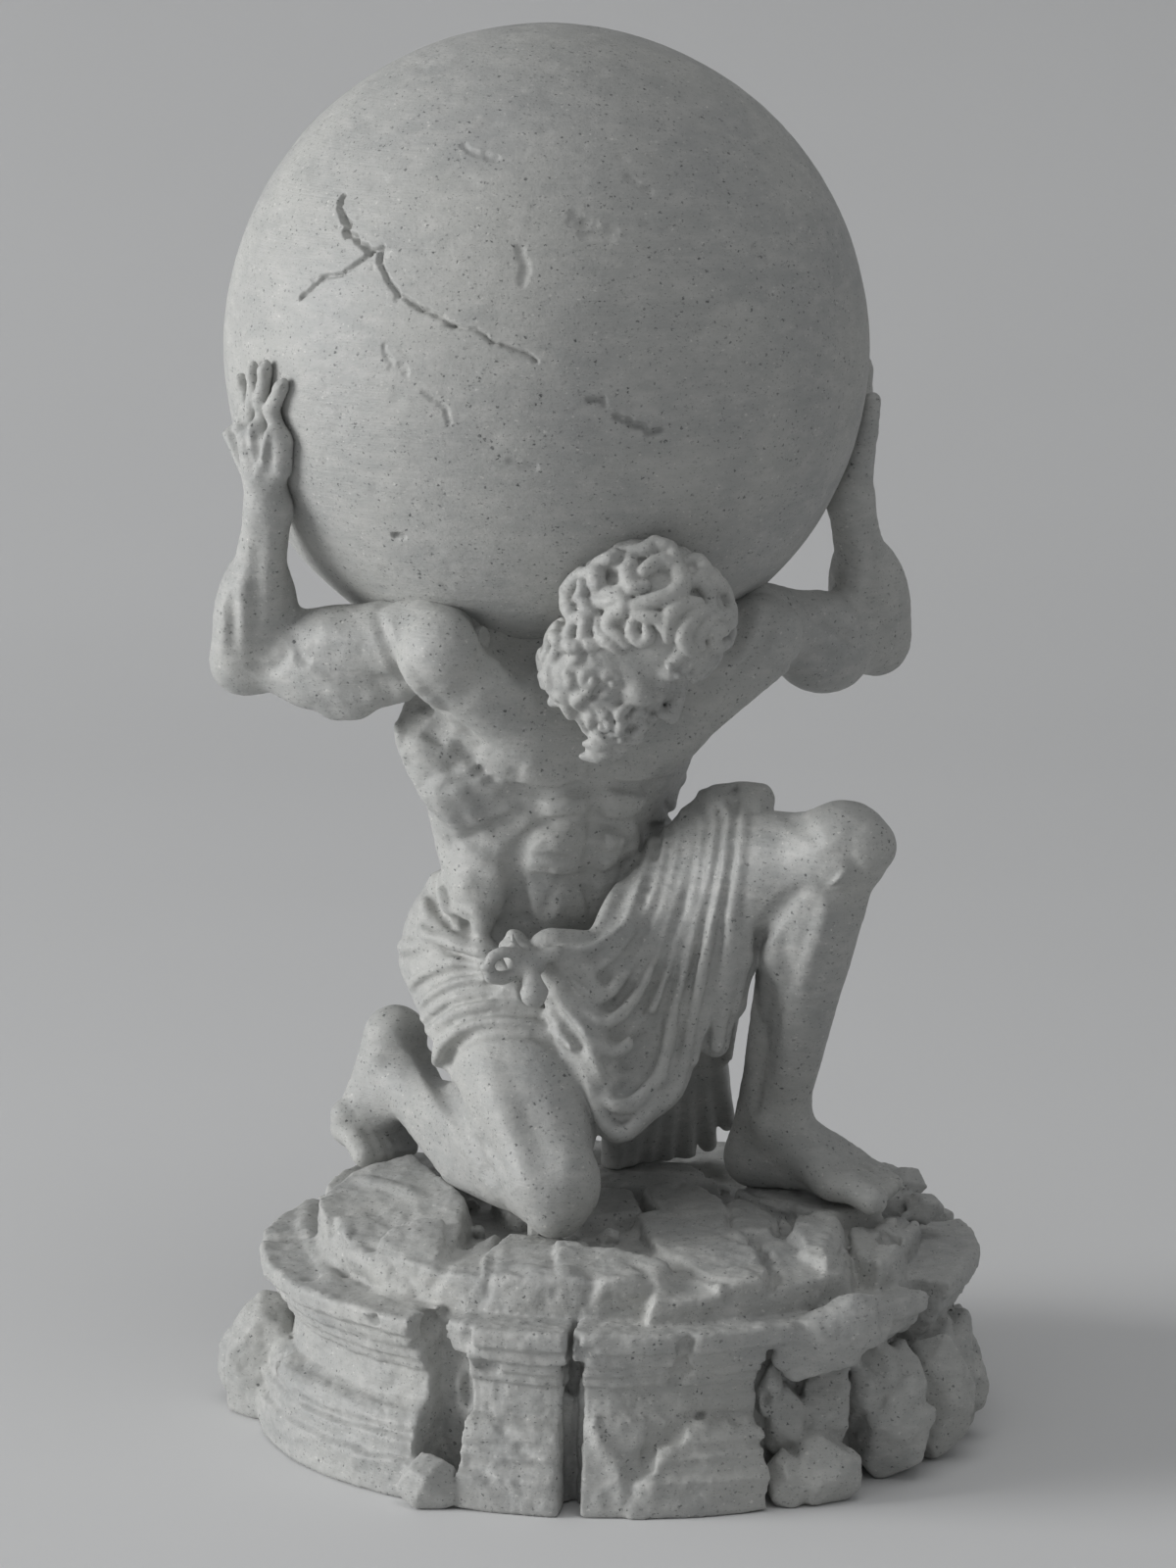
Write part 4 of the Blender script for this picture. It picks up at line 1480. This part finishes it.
def stone_outline(x, y, width, depth, turn, seed):
    """An uneven polygon of seven sides."""
    draw = np.random.default_rng(seed)
    spin = math.radians(turn)
    sides = 7
    points = []
    for i in range(sides):
        a = 2 * math.pi * (i + draw.uniform(-0.2, 0.2)) / sides
        px, py = width / 2 * math.cos(a), depth / 2 * math.sin(a)
        points.append((x + px * math.cos(spin) - py * math.sin(spin),
                       y + px * math.sin(spin) + py * math.cos(spin)))
    return points


# Broken stones of the top: node, height of the top, tilt and outline. The rim cuts them off round the
# pedestal. Those at the front reach further, and the slabs' bodies lie deeper and end earlier.
STONE_RIM, FRONT_REACH, BODY_SINK, BODY_INSET = 43.2, 3.2, 3.4, 1.5
stones = [
    ("inner_slab", 33, (0, 0.02), [(3.6, 3), (8.6, 9.4), (14.7, -2.6), (15.4, -18.2), (13.6, -21.2),
                                   (9, -17.4), (5.6, -8.9)]),
    ("inner_slab", 32.5, (0, 0), [(15.3, -2.2), (17.9, -0.7), (22, -10.1), (22, -17),
                                  (21.4, -20.1), (16, -17.8)]),
    ("right_slab", 33, (0, 0.03), [(23.9, -19.7), (25.1, -11.2), (30.2, -12), (31.2, -16.6), (30.1, -31.7),
                                   (28.6, -34), (25.7, -30.3)]),
    ("inner_slab", 31.5, (0.05, 0), [(17.9, -18.5), (20, -13.9), (25.5, -26.1), (21, -34.3), (19.7, -27.6)]),
    ("front_slab", 32, (0.02, 0.05), [(2.1, -9.7), (4.9, -8.1), (17.5, -18.9), (20.2, -37.6), (19.2, -44.2),
                                      (13.6, -44.2), (9.9, -36.9), (5.4, -28)]),
    ("right_slab", 30.5, (-0.04, 0.08), [(21.1, -32), (26.3, -24.6), (32.1, -23.1), (30.4, -40),
                                         (26.8, -45.8), (21.6, -41.5)]),
    ("rim_slab_right", 29.8, (0, 0.1), [(4.2, -42.1), (8.9, -30.5), (14.1, -38.5),
                                        (13.1, -49.3), (5.2, -53.5)]),
    ("rim_slab_right", 29.4, (0, 0.1), [(15.8, -38.1), (20.3, -32.3), (21.5, -37.4),
                                        (21.2, -43.2), (16.3, -41.7)]),
    ("rim_slab_left", 29.6, (0, 0.1), [(-4.9, -47.5), (0, -36.7), (4.1, -46), (4.1, -51.7), (-4.2, -52.4)]),
    ("rim_slab_left", 31.8, (0.02, 0.12), [(-9.5, -26.5), (6.9, -35), (4.1, -48), (-4.9, -53), (-8.2, -48)]),
    ("far_slab", 30, (-0.1, 0), [(39.2, -11.3), (41.9, -4.3), (44.2, -5.1), (43.2, -17.4), (39.8, -24.2)]),
    ("right_slab", 30.6, (-0.08, 0.04), [(32.5, -12), (38.5, -8), (39.5, -18), (37, -29), (33, -24)]),
    ("left_slab", 32.6, (0.14, 0.1), [(-43, -12), (-43, -1), (-39, 10.2), (-29.6, 15.1), (-21.2, -8),
                                      (-23, -24), (-32, -32), (-39, -24)]),
    ("left_slab", 32.2, (-0.1, 0.05), [(-45, -16), (-44.5, -4), (-40, 2), (-37.5, -8),
                                       (-38, -20), (-41, -26)]),
    ("left_slab", 32.2, (0.1, 0.2), [(-37, -30), (-31, -17), (-24, -18), (-25, -30), (-31, -38)]),
    ("left_slab", 30.6, (0.1, 0.1), [(-30, -30), (-23.5, -24), (-22, -36), (-26.4, -46), (-33, -42)]),
    ("knee_slab", 31, (0, 0.04), [(-26.5, -44.7), (-25.7, -36.1), (-23.6, -24.2), (-16.8, -16.6),
                                  (-18.8, -36.1), (-20.4, -50.2)]),
    ("knee_slab", 31.6, (0, 0.05), [(-19.3, -30.6), (-15.6, -20.1), (-4.6, -24.1), (-5.5, -43.7),
                                    (-6.7, -52), (-18.8, -52.2)]),
    ("centre_slab", 32.4, (0.03, -0.03), [(-18, 2), (-8, 8), (2, 4), (3, -8), (-6, -12), (-16, -8)]),
    ("centre_slab", 32.7, (0, 0.02), [(-10, 11), (0, 20), (10, 19), (14, 10), (4, 6)]),
    ("step_slab", 32.8, (0.03, 0.02), [(17, 4), (24, 12), (33, 8), (37, -6), (30, -10), (20, -2)]),
    ("far_slab", 31.6, (-0.05, -0.03), [(26, 12), (32, 24), (42, 16), (44, 3), (37, 2)]),
    ("back_slab", 31.2, (0, -0.06), [(2, 24), (6, 42), (20, 42), (27, 28), (16, 20)]),
    ("back_slab", 30.4, (-0.08, -0.06), [(22, 26), (24, 40), (36, 32), (33, 22)]),
    ("rear_slab", 31.6, (0, -0.05), [(-24, 26), (-22, 42), (-6, 45), (0, 32), (-8, 24)]),
    ("rear_slab", 30.6, (0.06, -0.05), [(-39, 18), (-36, 32), (-26, 38), (-25, 26), (-30, 18)]),
    ("toe_slab", 32.6, (0.04, 0), [(-44, 8), (-43, 20), (-32, 27), (-22, 22), (-20, 10), (-30, 6)]),
]

# Bites out of the walls by points of the view, with their radii in millimetres
bites = [
    (446, 1395, 4.0, 5.5, 7.5), (452, 1440, 3.8, 5.0, 7.0), (474, 1372, 1.6, 2.0, 3.0),
    (496, 1396, 2.0, 1.6, 1.3), (477, 1420, 1.0, 1.6, 3.0), (457, 1350, 1.8, 2.4, 2.4),
    (441, 1350, 2.2, 2.6, 2.6), (586, 1402, 1.0, 1.6, 3.6), (588, 1366, 0.7, 1.2, 1.4),
    (600, 1382, 1.4, 1.0, 1.0), (700, 1376, 1.5, 1.7, 1.9), (696, 1398, 1.9, 1.2, 2.6),
    (688, 1414, 1.6, 1.0, 1.4), (816, 1350, 1.0, 1.2, 1.2), (908, 1262, 2.2, 3.2, 3.0),
    (905, 1345, 1.5, 2, 3.6), (782, 1430, 0.8, 1.4, 1.6), (300, 1352, 1.1, 1.8, 2.8),
    (286, 1388, 1.1, 1.8, 2.4), (316, 1304, 1.4, 1.4, 0.9), (378, 1346, 1.7, 1.2, 0.9),
    (334, 1250, 1.6, 2.2, 1.8),
]
pedestal_marks = [
    # Courses and cracks of the wall blocks
    ([(309, 1336), (340, 1354), (382, 1368), (419, 1377)], 0.9, -0.6, True),
    ([(304, 1390), (340, 1408), (396, 1429), (430, 1436)], 1.0, -0.9, True),
    ([(293, 1409), (321, 1435), (368, 1451), (422, 1463)], 1.0, -0.8, True),
    ([(330, 1372), (344, 1390), (346, 1408)], 0.9, -0.5, True),
    ([(300, 1378), (296, 1400), (312, 1425)], 2.4, 0.9),
    ([(336, 1470), (380, 1486), (408, 1492)], 2.4, 0.4),
    ([(488, 1446), (530, 1448), (580, 1450)], 1.0, -0.9, True),
    ([(476, 1473), (520, 1475), (578, 1477)], 1.0, -0.7, True),
    ([(490, 1494), (530, 1498), (574, 1497)], 1.0, -0.6, True),
    ([(509, 1449), (523, 1471), (554, 1497)], 1.2, -1.0, True),
    ([(470, 1484), (492, 1502), (503, 1516), (527, 1528)], 1.4, -1.3, True),
    ([(590, 1373), (593, 1393), (580, 1421), (581, 1480), (583, 1544)], 1.4, -1.5, True),
    ([(597, 1395), (640, 1396), (678, 1394)], 1.0, -0.7, True),
    ([(600, 1426), (640, 1424), (680, 1420)], 1.0, -0.7, True),
    ([(600, 1440), (612, 1470), (630, 1500), (640, 1536)], 1.6, 0.8),
    ([(603, 1428), (598, 1460), (604, 1500)], 1.4, -0.8, True),
    ([(722, 1438), (700, 1455), (676, 1474), (654, 1494), (645, 1512), (646, 1540)], 2.2, -1.8, True),
    ([(726, 1446), (700, 1465), (676, 1484), (662, 1500)], 1.6, 0.9),
    ([(684, 1476), (730, 1476), (788, 1470)], 1.0, -0.7, True),
    ([(676, 1496), (730, 1492), (786, 1484)], 1.0, -0.7, True),
    ([(740, 1450), (765, 1450), (780, 1450)], 1.6, -0.7, True),
    ([(700, 1370), (694, 1395), (684, 1415)], 1.2, -0.6, True),
    ([(800, 1470), (812, 1480), (822, 1472)], 1.4, -0.9, True),
    ([(860, 1380), (876, 1400), (890, 1440), (906, 1470)], 2.0, 0.8),
    ([(880, 1378), (905, 1400), (920, 1430), (930, 1460)], 2.0, -1.2, True),
    ([(920, 1470), (955, 1440), (990, 1432)], 2.0, 0.8),
    ([(925, 1450), (950, 1425), (975, 1410)], 1.8, -1.0, True),
    # Lumps and hollows of the big rock on the left
    ([(318, 1222), (312, 1250), (322, 1276), (342, 1306)], 1.8, 0.9),
    ([(330, 1242), (342, 1258), (350, 1285), (352, 1305)], 2.0, -1.3, True),
    ([(352, 1275), (372, 1290), (400, 1310), (424, 1326)], 2.6, 1.1),
    ([(345, 1268), (380, 1272), (410, 1290)], 1.8, -0.8, True),
    ([(392, 1275), (410, 1300), (432, 1318)], 2.0, -0.8, True),
    ([(436, 1322), (450, 1300), (470, 1275), (500, 1260)], 1.8, -0.9, True),
    ([(360, 1205), (400, 1210), (430, 1225)], 2.2, 0.8),
    ([(370, 1230), (400, 1245), (425, 1240)], 2.2, -0.6),
    # Joints of the stones on the right
    ([(646, 1243), (655, 1268), (675, 1282), (694, 1292), (716, 1301), (739, 1307),
      (769, 1303)], 1.1, -1.3, True),
    ([(769, 1303), (778, 1285), (767, 1270), (745, 1261), (725, 1254), (695, 1247),
      (668, 1239)], 1.0, -1.1, True),
    ([(670, 1217), (680, 1230), (694, 1241), (716, 1247), (739, 1250), (746, 1240)], 1.0, -1.1, True),
    ([(741, 1224), (765, 1234), (787, 1241), (791, 1257), (772, 1256), (752, 1250)], 1.0, -1.1, True),
    ([(804, 1241), (811, 1267), (830, 1274), (849, 1277), (855, 1246)], 1.1, -1.2, True),
    ([(763, 1221), (780, 1233), (800, 1243), (826, 1238), (842, 1248)], 1.0, -1.0, True),
    ([(774, 1272), (787, 1285), (800, 1280), (813, 1274)], 1.0, -1.1, True),
    ([(787, 1285), (790, 1298), (795, 1309)], 1.0, -1.0, True),
    ([(862, 1300), (866, 1282), (850, 1278), (838, 1277)], 1.0, -1.0, True),
    ([(686, 1214), (700, 1205), (720, 1200), (742, 1204)], 1.0, -0.9, True),
    ([(742, 1204), (764, 1214), (790, 1226), (812, 1232)], 1.0, -0.9, True),
    ([(882, 1240), (892, 1262), (888, 1290)], 1.2, -1.0, True),
    # Front lumps
    ([(600, 1322), (630, 1312), (660, 1325)], 2.0, 0.8),
    ([(668, 1326), (692, 1308), (730, 1318)], 2.0, 0.8),
    ([(520, 1290), (560, 1300), (590, 1290)], 2.2, 0.7),
    ([(504, 1275), (500, 1300), (494, 1330)], 1.2, -1.0, True),
    ([(596, 1290), (606, 1310), (596, 1334)], 1.2, -1.0, True),
    ([(640, 1286), (660, 1300), (664, 1330)], 1.2, -0.9, True),
    ([(742, 1306), (746, 1320), (740, 1334)], 1.2, -0.9, True),
]


def build_pedestal():
    base = Lattice(vec(-61, -61, -1.5), vec(61, 61, 37), STONE_CELL)
    # A smooth random shift of the space, so that no edge is quite straight
    every, shift = 8, 0.22
    base.warp = []
    for k in range(3):
        table = np.random.default_rng(40 + k).uniform(-1, 1, base.count // every + 3)
        full = table.astype(np.float32)
        for axis in range(3):
            here = np.arange(base.count[axis]) / every
            cell = here.astype(int)
            t = ease((here - cell).astype(np.float32)).reshape([-1 if a == axis else 1 for a in range(3)])
            full = np.take(full, cell, axis) * (1 - t) + np.take(full, cell + 1, axis) * t
        base.warp.append(shift * full)
    core = [(43.7, 0), (43.7, 24), (41.7, 26), (36.7, 27.5), (22.7, 29.5), (0.1, 30.2)]
    base.add(Wall(core, -180, 180.01, -1), 0, "plinth_core")
    for name, (profile, start, end) in walls.items():
        base.add(Wall(profile, start, end, WALL_INNER), 0.3, name)
    # The front's right end is broken off under its lip, and the next block has a notch
    base.carve(Wall([(OUTSIDE, -1), (OUTSIDE, 22.4)], -66.5, -55, 44), 0.6)
    base.carve(Wall([(OUTSIDE, 15), (OUTSIDE, 19.6)], -45, -31, 44), 0.8)
    # The broken foot of the front: rubble, three steps of moulding, and rubble over its left end
    rubble = [(51.7, 0), (50.8, 4), (49.6, 8), (48.2, 13.4)]
    base.add(Wall(rubble, -97.3, -86, WALL_INNER), 0.5, "wall_front_rubble")
    for low, high, start in ((0, 6.2, -88.5), (5, 10.2, -84.5), (9, 12.8, -80)):
        part = [p for p in foot_profile if low <= p[1] <= high]
        base.add(Wall(part, start, -67, 45), 1.2, "wall_front_foot")
    rubble = [(50.6, 0), (49.8, 4), (48.8, 8), (47.9, 13.4)]
    base.add(Wall(rubble, -86.5, -77, WALL_INNER), 0.5, "wall_front_rubble")
    lip = [(50.2, 21.1), (50.2, 22.8), (51.5, 23.3), (51.7, 25.4), (51.2, 26)]
    base.add(Wall(lip, -119.2, -116, WALL_INNER), 0.3, "wall_front_left")
    base.carve(Wall([(OUTSIDE, -1), (OUTSIDE, 21)], -99.7, -96.3, 45.2), 0.6)
    # Wedge under the broken piece of the lip, and rocks in the recesses
    for line, radii in (([(812, 1398, -42), (850, 1374, -41.5), (884, 1347, -40)], [1.6, 3.2, 3.6]),
                        ([(800, 1384, -42.5), (836, 1362, -42.5), (868, 1346, -41)], [1.8, 3.0, 3.4])):
        base.add(Rope([seen(*q) for q in line], radii), 1.5, "wall_right_cornice")
    for u, v, y, *radii in ((802, 1452, -39, 3.6, 3, 5.5), (838, 1440, -37, 4, 3.4, 6.5),
                            (786, 1420, -40, 2, 2, 4), (438, 1518, -44.5, 4.2, 3.6, 4.6),
                            (448, 1420, -42.5, 2.4, 2.6, 5), (440, 1372, -42.5, 3, 2.4, 4)):
        base.add(Boulder(seen(u, v, y), radii, u, 12), 0.4, "plinth_core")
    base.add(Boulder((23.2, -43.2, 3), (4, 4, 4.6), 17), 0.4, "boulder_front")
    for x, y, z, r in ((41, 8, 31.8, 3.4), (38.5, 12, 32, 3.2), (43.5, 2, 30.4, 3), (34.5, 11, 32.2, 3)):
        base.add(Boulder((x, y, z), (r, r, r * 0.8), int(x), 12), 0.3, "far_slab")
    base.add(Boulder((45, -22, 9), (5.6, 5, 9.5), 8), 0.5, "boulder_right")
    for k, (name, (x, y, z, rx, ry, rz)) in enumerate(boulders.items()):
        base.add(Boulder((x, y, z), (rx, ry, rz), k + 1), 0.4, name)
        # Smaller stones broken off it
        draw = np.random.default_rng(60 + k)
        for _ in range(5):
            way = draw.normal(size=3)
            way = way / np.linalg.norm(way)
            r = draw.uniform(0.38, 0.62) * np.array([rx, ry, rz])
            place = np.array([x, y, z]) + way * np.array([rx, ry, rz]) * 0.58
            base.add(Boulder(place, r, int(draw.integers(1000))), 0.3, name)
    for k, (name, (x, y, width, depth, top, turn, tilt_x, tilt_y)) in enumerate(slabs.items()):
        outline = stone_outline(x, y, width, depth, turn, k + 1)
        rim = STONE_RIM - BODY_INSET
        base.add(Slab(outline, GROUND + top - BODY_SINK, (tilt_x, tilt_y), rim), 0.15, name)
    for name, top, tilt, outline in stones:
        rim = STONE_RIM + (FRONT_REACH if name in ("rim_slab_right", "right_slab", "front_slab") else 0)
        base.add(Slab(outline, top, tilt, rim, slant=0.3, edge=0.6), 0.05, name)
    # Rubble between the stones
    scatter = np.random.default_rng(77)
    for _ in range(90):
        way, reach = scatter.uniform(-math.pi, math.pi), 41 * math.sqrt(scatter.uniform(0.1, 1))
        r = scatter.uniform(0.7, 2.0) * np.array([1, 1, 0.8])
        place = (reach * math.cos(way), reach * math.sin(way), 30.4 - 0.05 * max(reach - 20, 0))
        base.add(Boulder(place, r, int(scatter.integers(1000)), 10), 0.2)
    base.warp = None
    for u, v, *radii in bites:
        base.carve(Boulder(base.hit(u, v), radii, int(u), 12), 0.4)
    base.sculpt(pedestal_marks)
    heights = base.low[2] + base.cell * np.arange(base.count[2])
    base.field = np.maximum(base.field, -heights.astype(np.float32)[None, None, :])
    return base


def stone_grain(points):
    """Roughness that dies out at the flat underside."""
    flat = np.clip(points[:, 2] * 0.8, 0, 1)
    rough = 0.16 * values_noise(points, 1.5, 31) + 0.10 * values_noise(points, 0.7, 32)
    return flat * (rough + 0.15 * values_noise(points, 4, 33))


cast(build_pedestal(), stone_grain)

# Pegs inside the man stay as CAD, with their own procedural finish
peg_finish = stone_material("peg_finish", 0.4)
for name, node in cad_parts.items():
    if name.endswith("_peg"):
        node.data.materials.clear()
        node.data.materials.append(peg_finish)

# Floor, light and camera


def stage_material():
    """Paper that darkens over the first half metre of its height, and is clear from behind."""
    material = bpy.data.materials.new("backdrop_paper")
    material.use_nodes = True
    nodes, links = material.node_tree.nodes, material.node_tree.links
    shader = nodes["Principled BSDF"]
    shader.inputs["Roughness"].default_value = 0.9
    place = nodes.new("ShaderNodeTexCoord")
    grain = nodes.new("ShaderNodeTexNoise")
    grain.inputs["Scale"].default_value = 6
    links.new(place.outputs["Object"], grain.inputs["Vector"])
    ramp = nodes.new("ShaderNodeMapRange")
    ramp.inputs["To Min"].default_value = 0.97
    ramp.inputs["To Max"].default_value = 1.03
    links.new(grain.outputs[0], ramp.inputs["Value"])
    tone = nodes.new("ShaderNodeMix")
    tone.data_type = "RGBA"
    tone.blend_type = "MULTIPLY"
    tone.inputs[0].default_value = 1
    split = nodes.new("ShaderNodeSeparateXYZ")
    links.new(place.outputs["Object"], split.inputs[0])
    rise = nodes.new("ShaderNodeMapRange")
    rise.inputs["From Max"].default_value = 0.5
    links.new(split.outputs[2], rise.inputs["Value"])
    shade = nodes.new("ShaderNodeMix")
    shade.data_type = "RGBA"
    shade.inputs[6].default_value = (0.75, 0.753, 0.755, 1)
    shade.inputs[7].default_value = (0.45, 0.452, 0.455, 1)
    links.new(rise.outputs[0], shade.inputs[0])
    links.new(shade.outputs[2], tone.inputs[6])
    links.new(ramp.outputs[0], tone.inputs[7])
    links.new(tone.outputs[2], shader.inputs["Base Color"])
    # From behind, the sweep is clear, so that the statuette's back shows too
    side = nodes.new("ShaderNodeNewGeometry")
    clear = nodes.new("ShaderNodeBsdfTransparent")
    either = nodes.new("ShaderNodeMixShader")
    links.new(side.outputs["Backfacing"], either.inputs[0])
    links.new(shader.outputs[0], either.inputs[1])
    links.new(clear.outputs[0], either.inputs[2])
    links.new(either.outputs[0], nodes["Material Output"].inputs["Surface"])
    return material


def build_backdrop():
    """A paper sweep: flat under the statuette, curved up behind it."""
    mesh = bmesh.new()
    front, bend, radius, top, side = -1.6, 0.5, 0.9, 2.6, 3
    profile = [(front, 0), (bend, 0)]
    for k in range(1, 17):
        a = math.radians(90 * k / 16)
        profile.append((bend + radius * math.sin(a), radius * (1 - math.cos(a))))
    profile.append((bend + radius, top))
    rows = [[mesh.verts.new((x, y, z)) for x in (-side, side)] for y, z in profile]
    for a, b in zip(rows, rows[1:]):
        mesh.faces.new((a[0], a[1], b[1], b[0]))
    data = bpy.data.meshes.new("backdrop")
    mesh.to_mesh(data)
    mesh.free()
    data.shade_smooth()
    data.materials.append(stage_material())
    floor = bpy.data.objects.new("backdrop", data)
    bpy.context.scene.collection.objects.link(floor)


build_backdrop()


def area_light(name, place, size, power):
    """A round lamp that shines on the statuette's middle."""
    data = bpy.data.lights.new(name, "AREA")
    data.shape = "DISK"
    data.size = size
    data.energy = power
    lamp = bpy.data.objects.new(name, data)
    lamp.location = place
    lamp.rotation_euler = (Vector((0, 0, 0.1)) - Vector(place)).to_track_quat("-Z", "Y").to_euler()
    bpy.context.scene.collection.objects.link(lamp)


area_light("window_left", (-1.54, -0.24, 0.42), 0.9, 20.5)
area_light("overhead", (0.1, -0.4, 1.6), 1.2, 3.6)
world = bpy.data.worlds.new("studio")
world.use_nodes = True
world.node_tree.nodes["Background"].inputs["Color"].default_value = (0.97, 0.985, 1, 1)
world.node_tree.nodes["Background"].inputs["Strength"].default_value = 0.26
bpy.context.scene.world = world

SENSOR = 36
camera_data = bpy.data.cameras.new("camera")
camera_data.sensor_fit = "VERTICAL"
camera_data.sensor_height = SENSOR
camera_data.sensor_width = SENSOR * VIEW_WIDTH / VIEW_HEIGHT
camera_data.lens = SENSOR * FOCAL / VIEW_HEIGHT
camera_data.clip_end = 20
camera = bpy.data.objects.new("camera", camera_data)
camera.location = EYE * MM
camera.rotation_euler = (math.radians(90) - EYE_PITCH, 0, 0)
bpy.context.scene.collection.objects.link(camera)
bpy.context.scene.camera = camera
bpy.context.scene.view_settings.view_transform = "Standard"
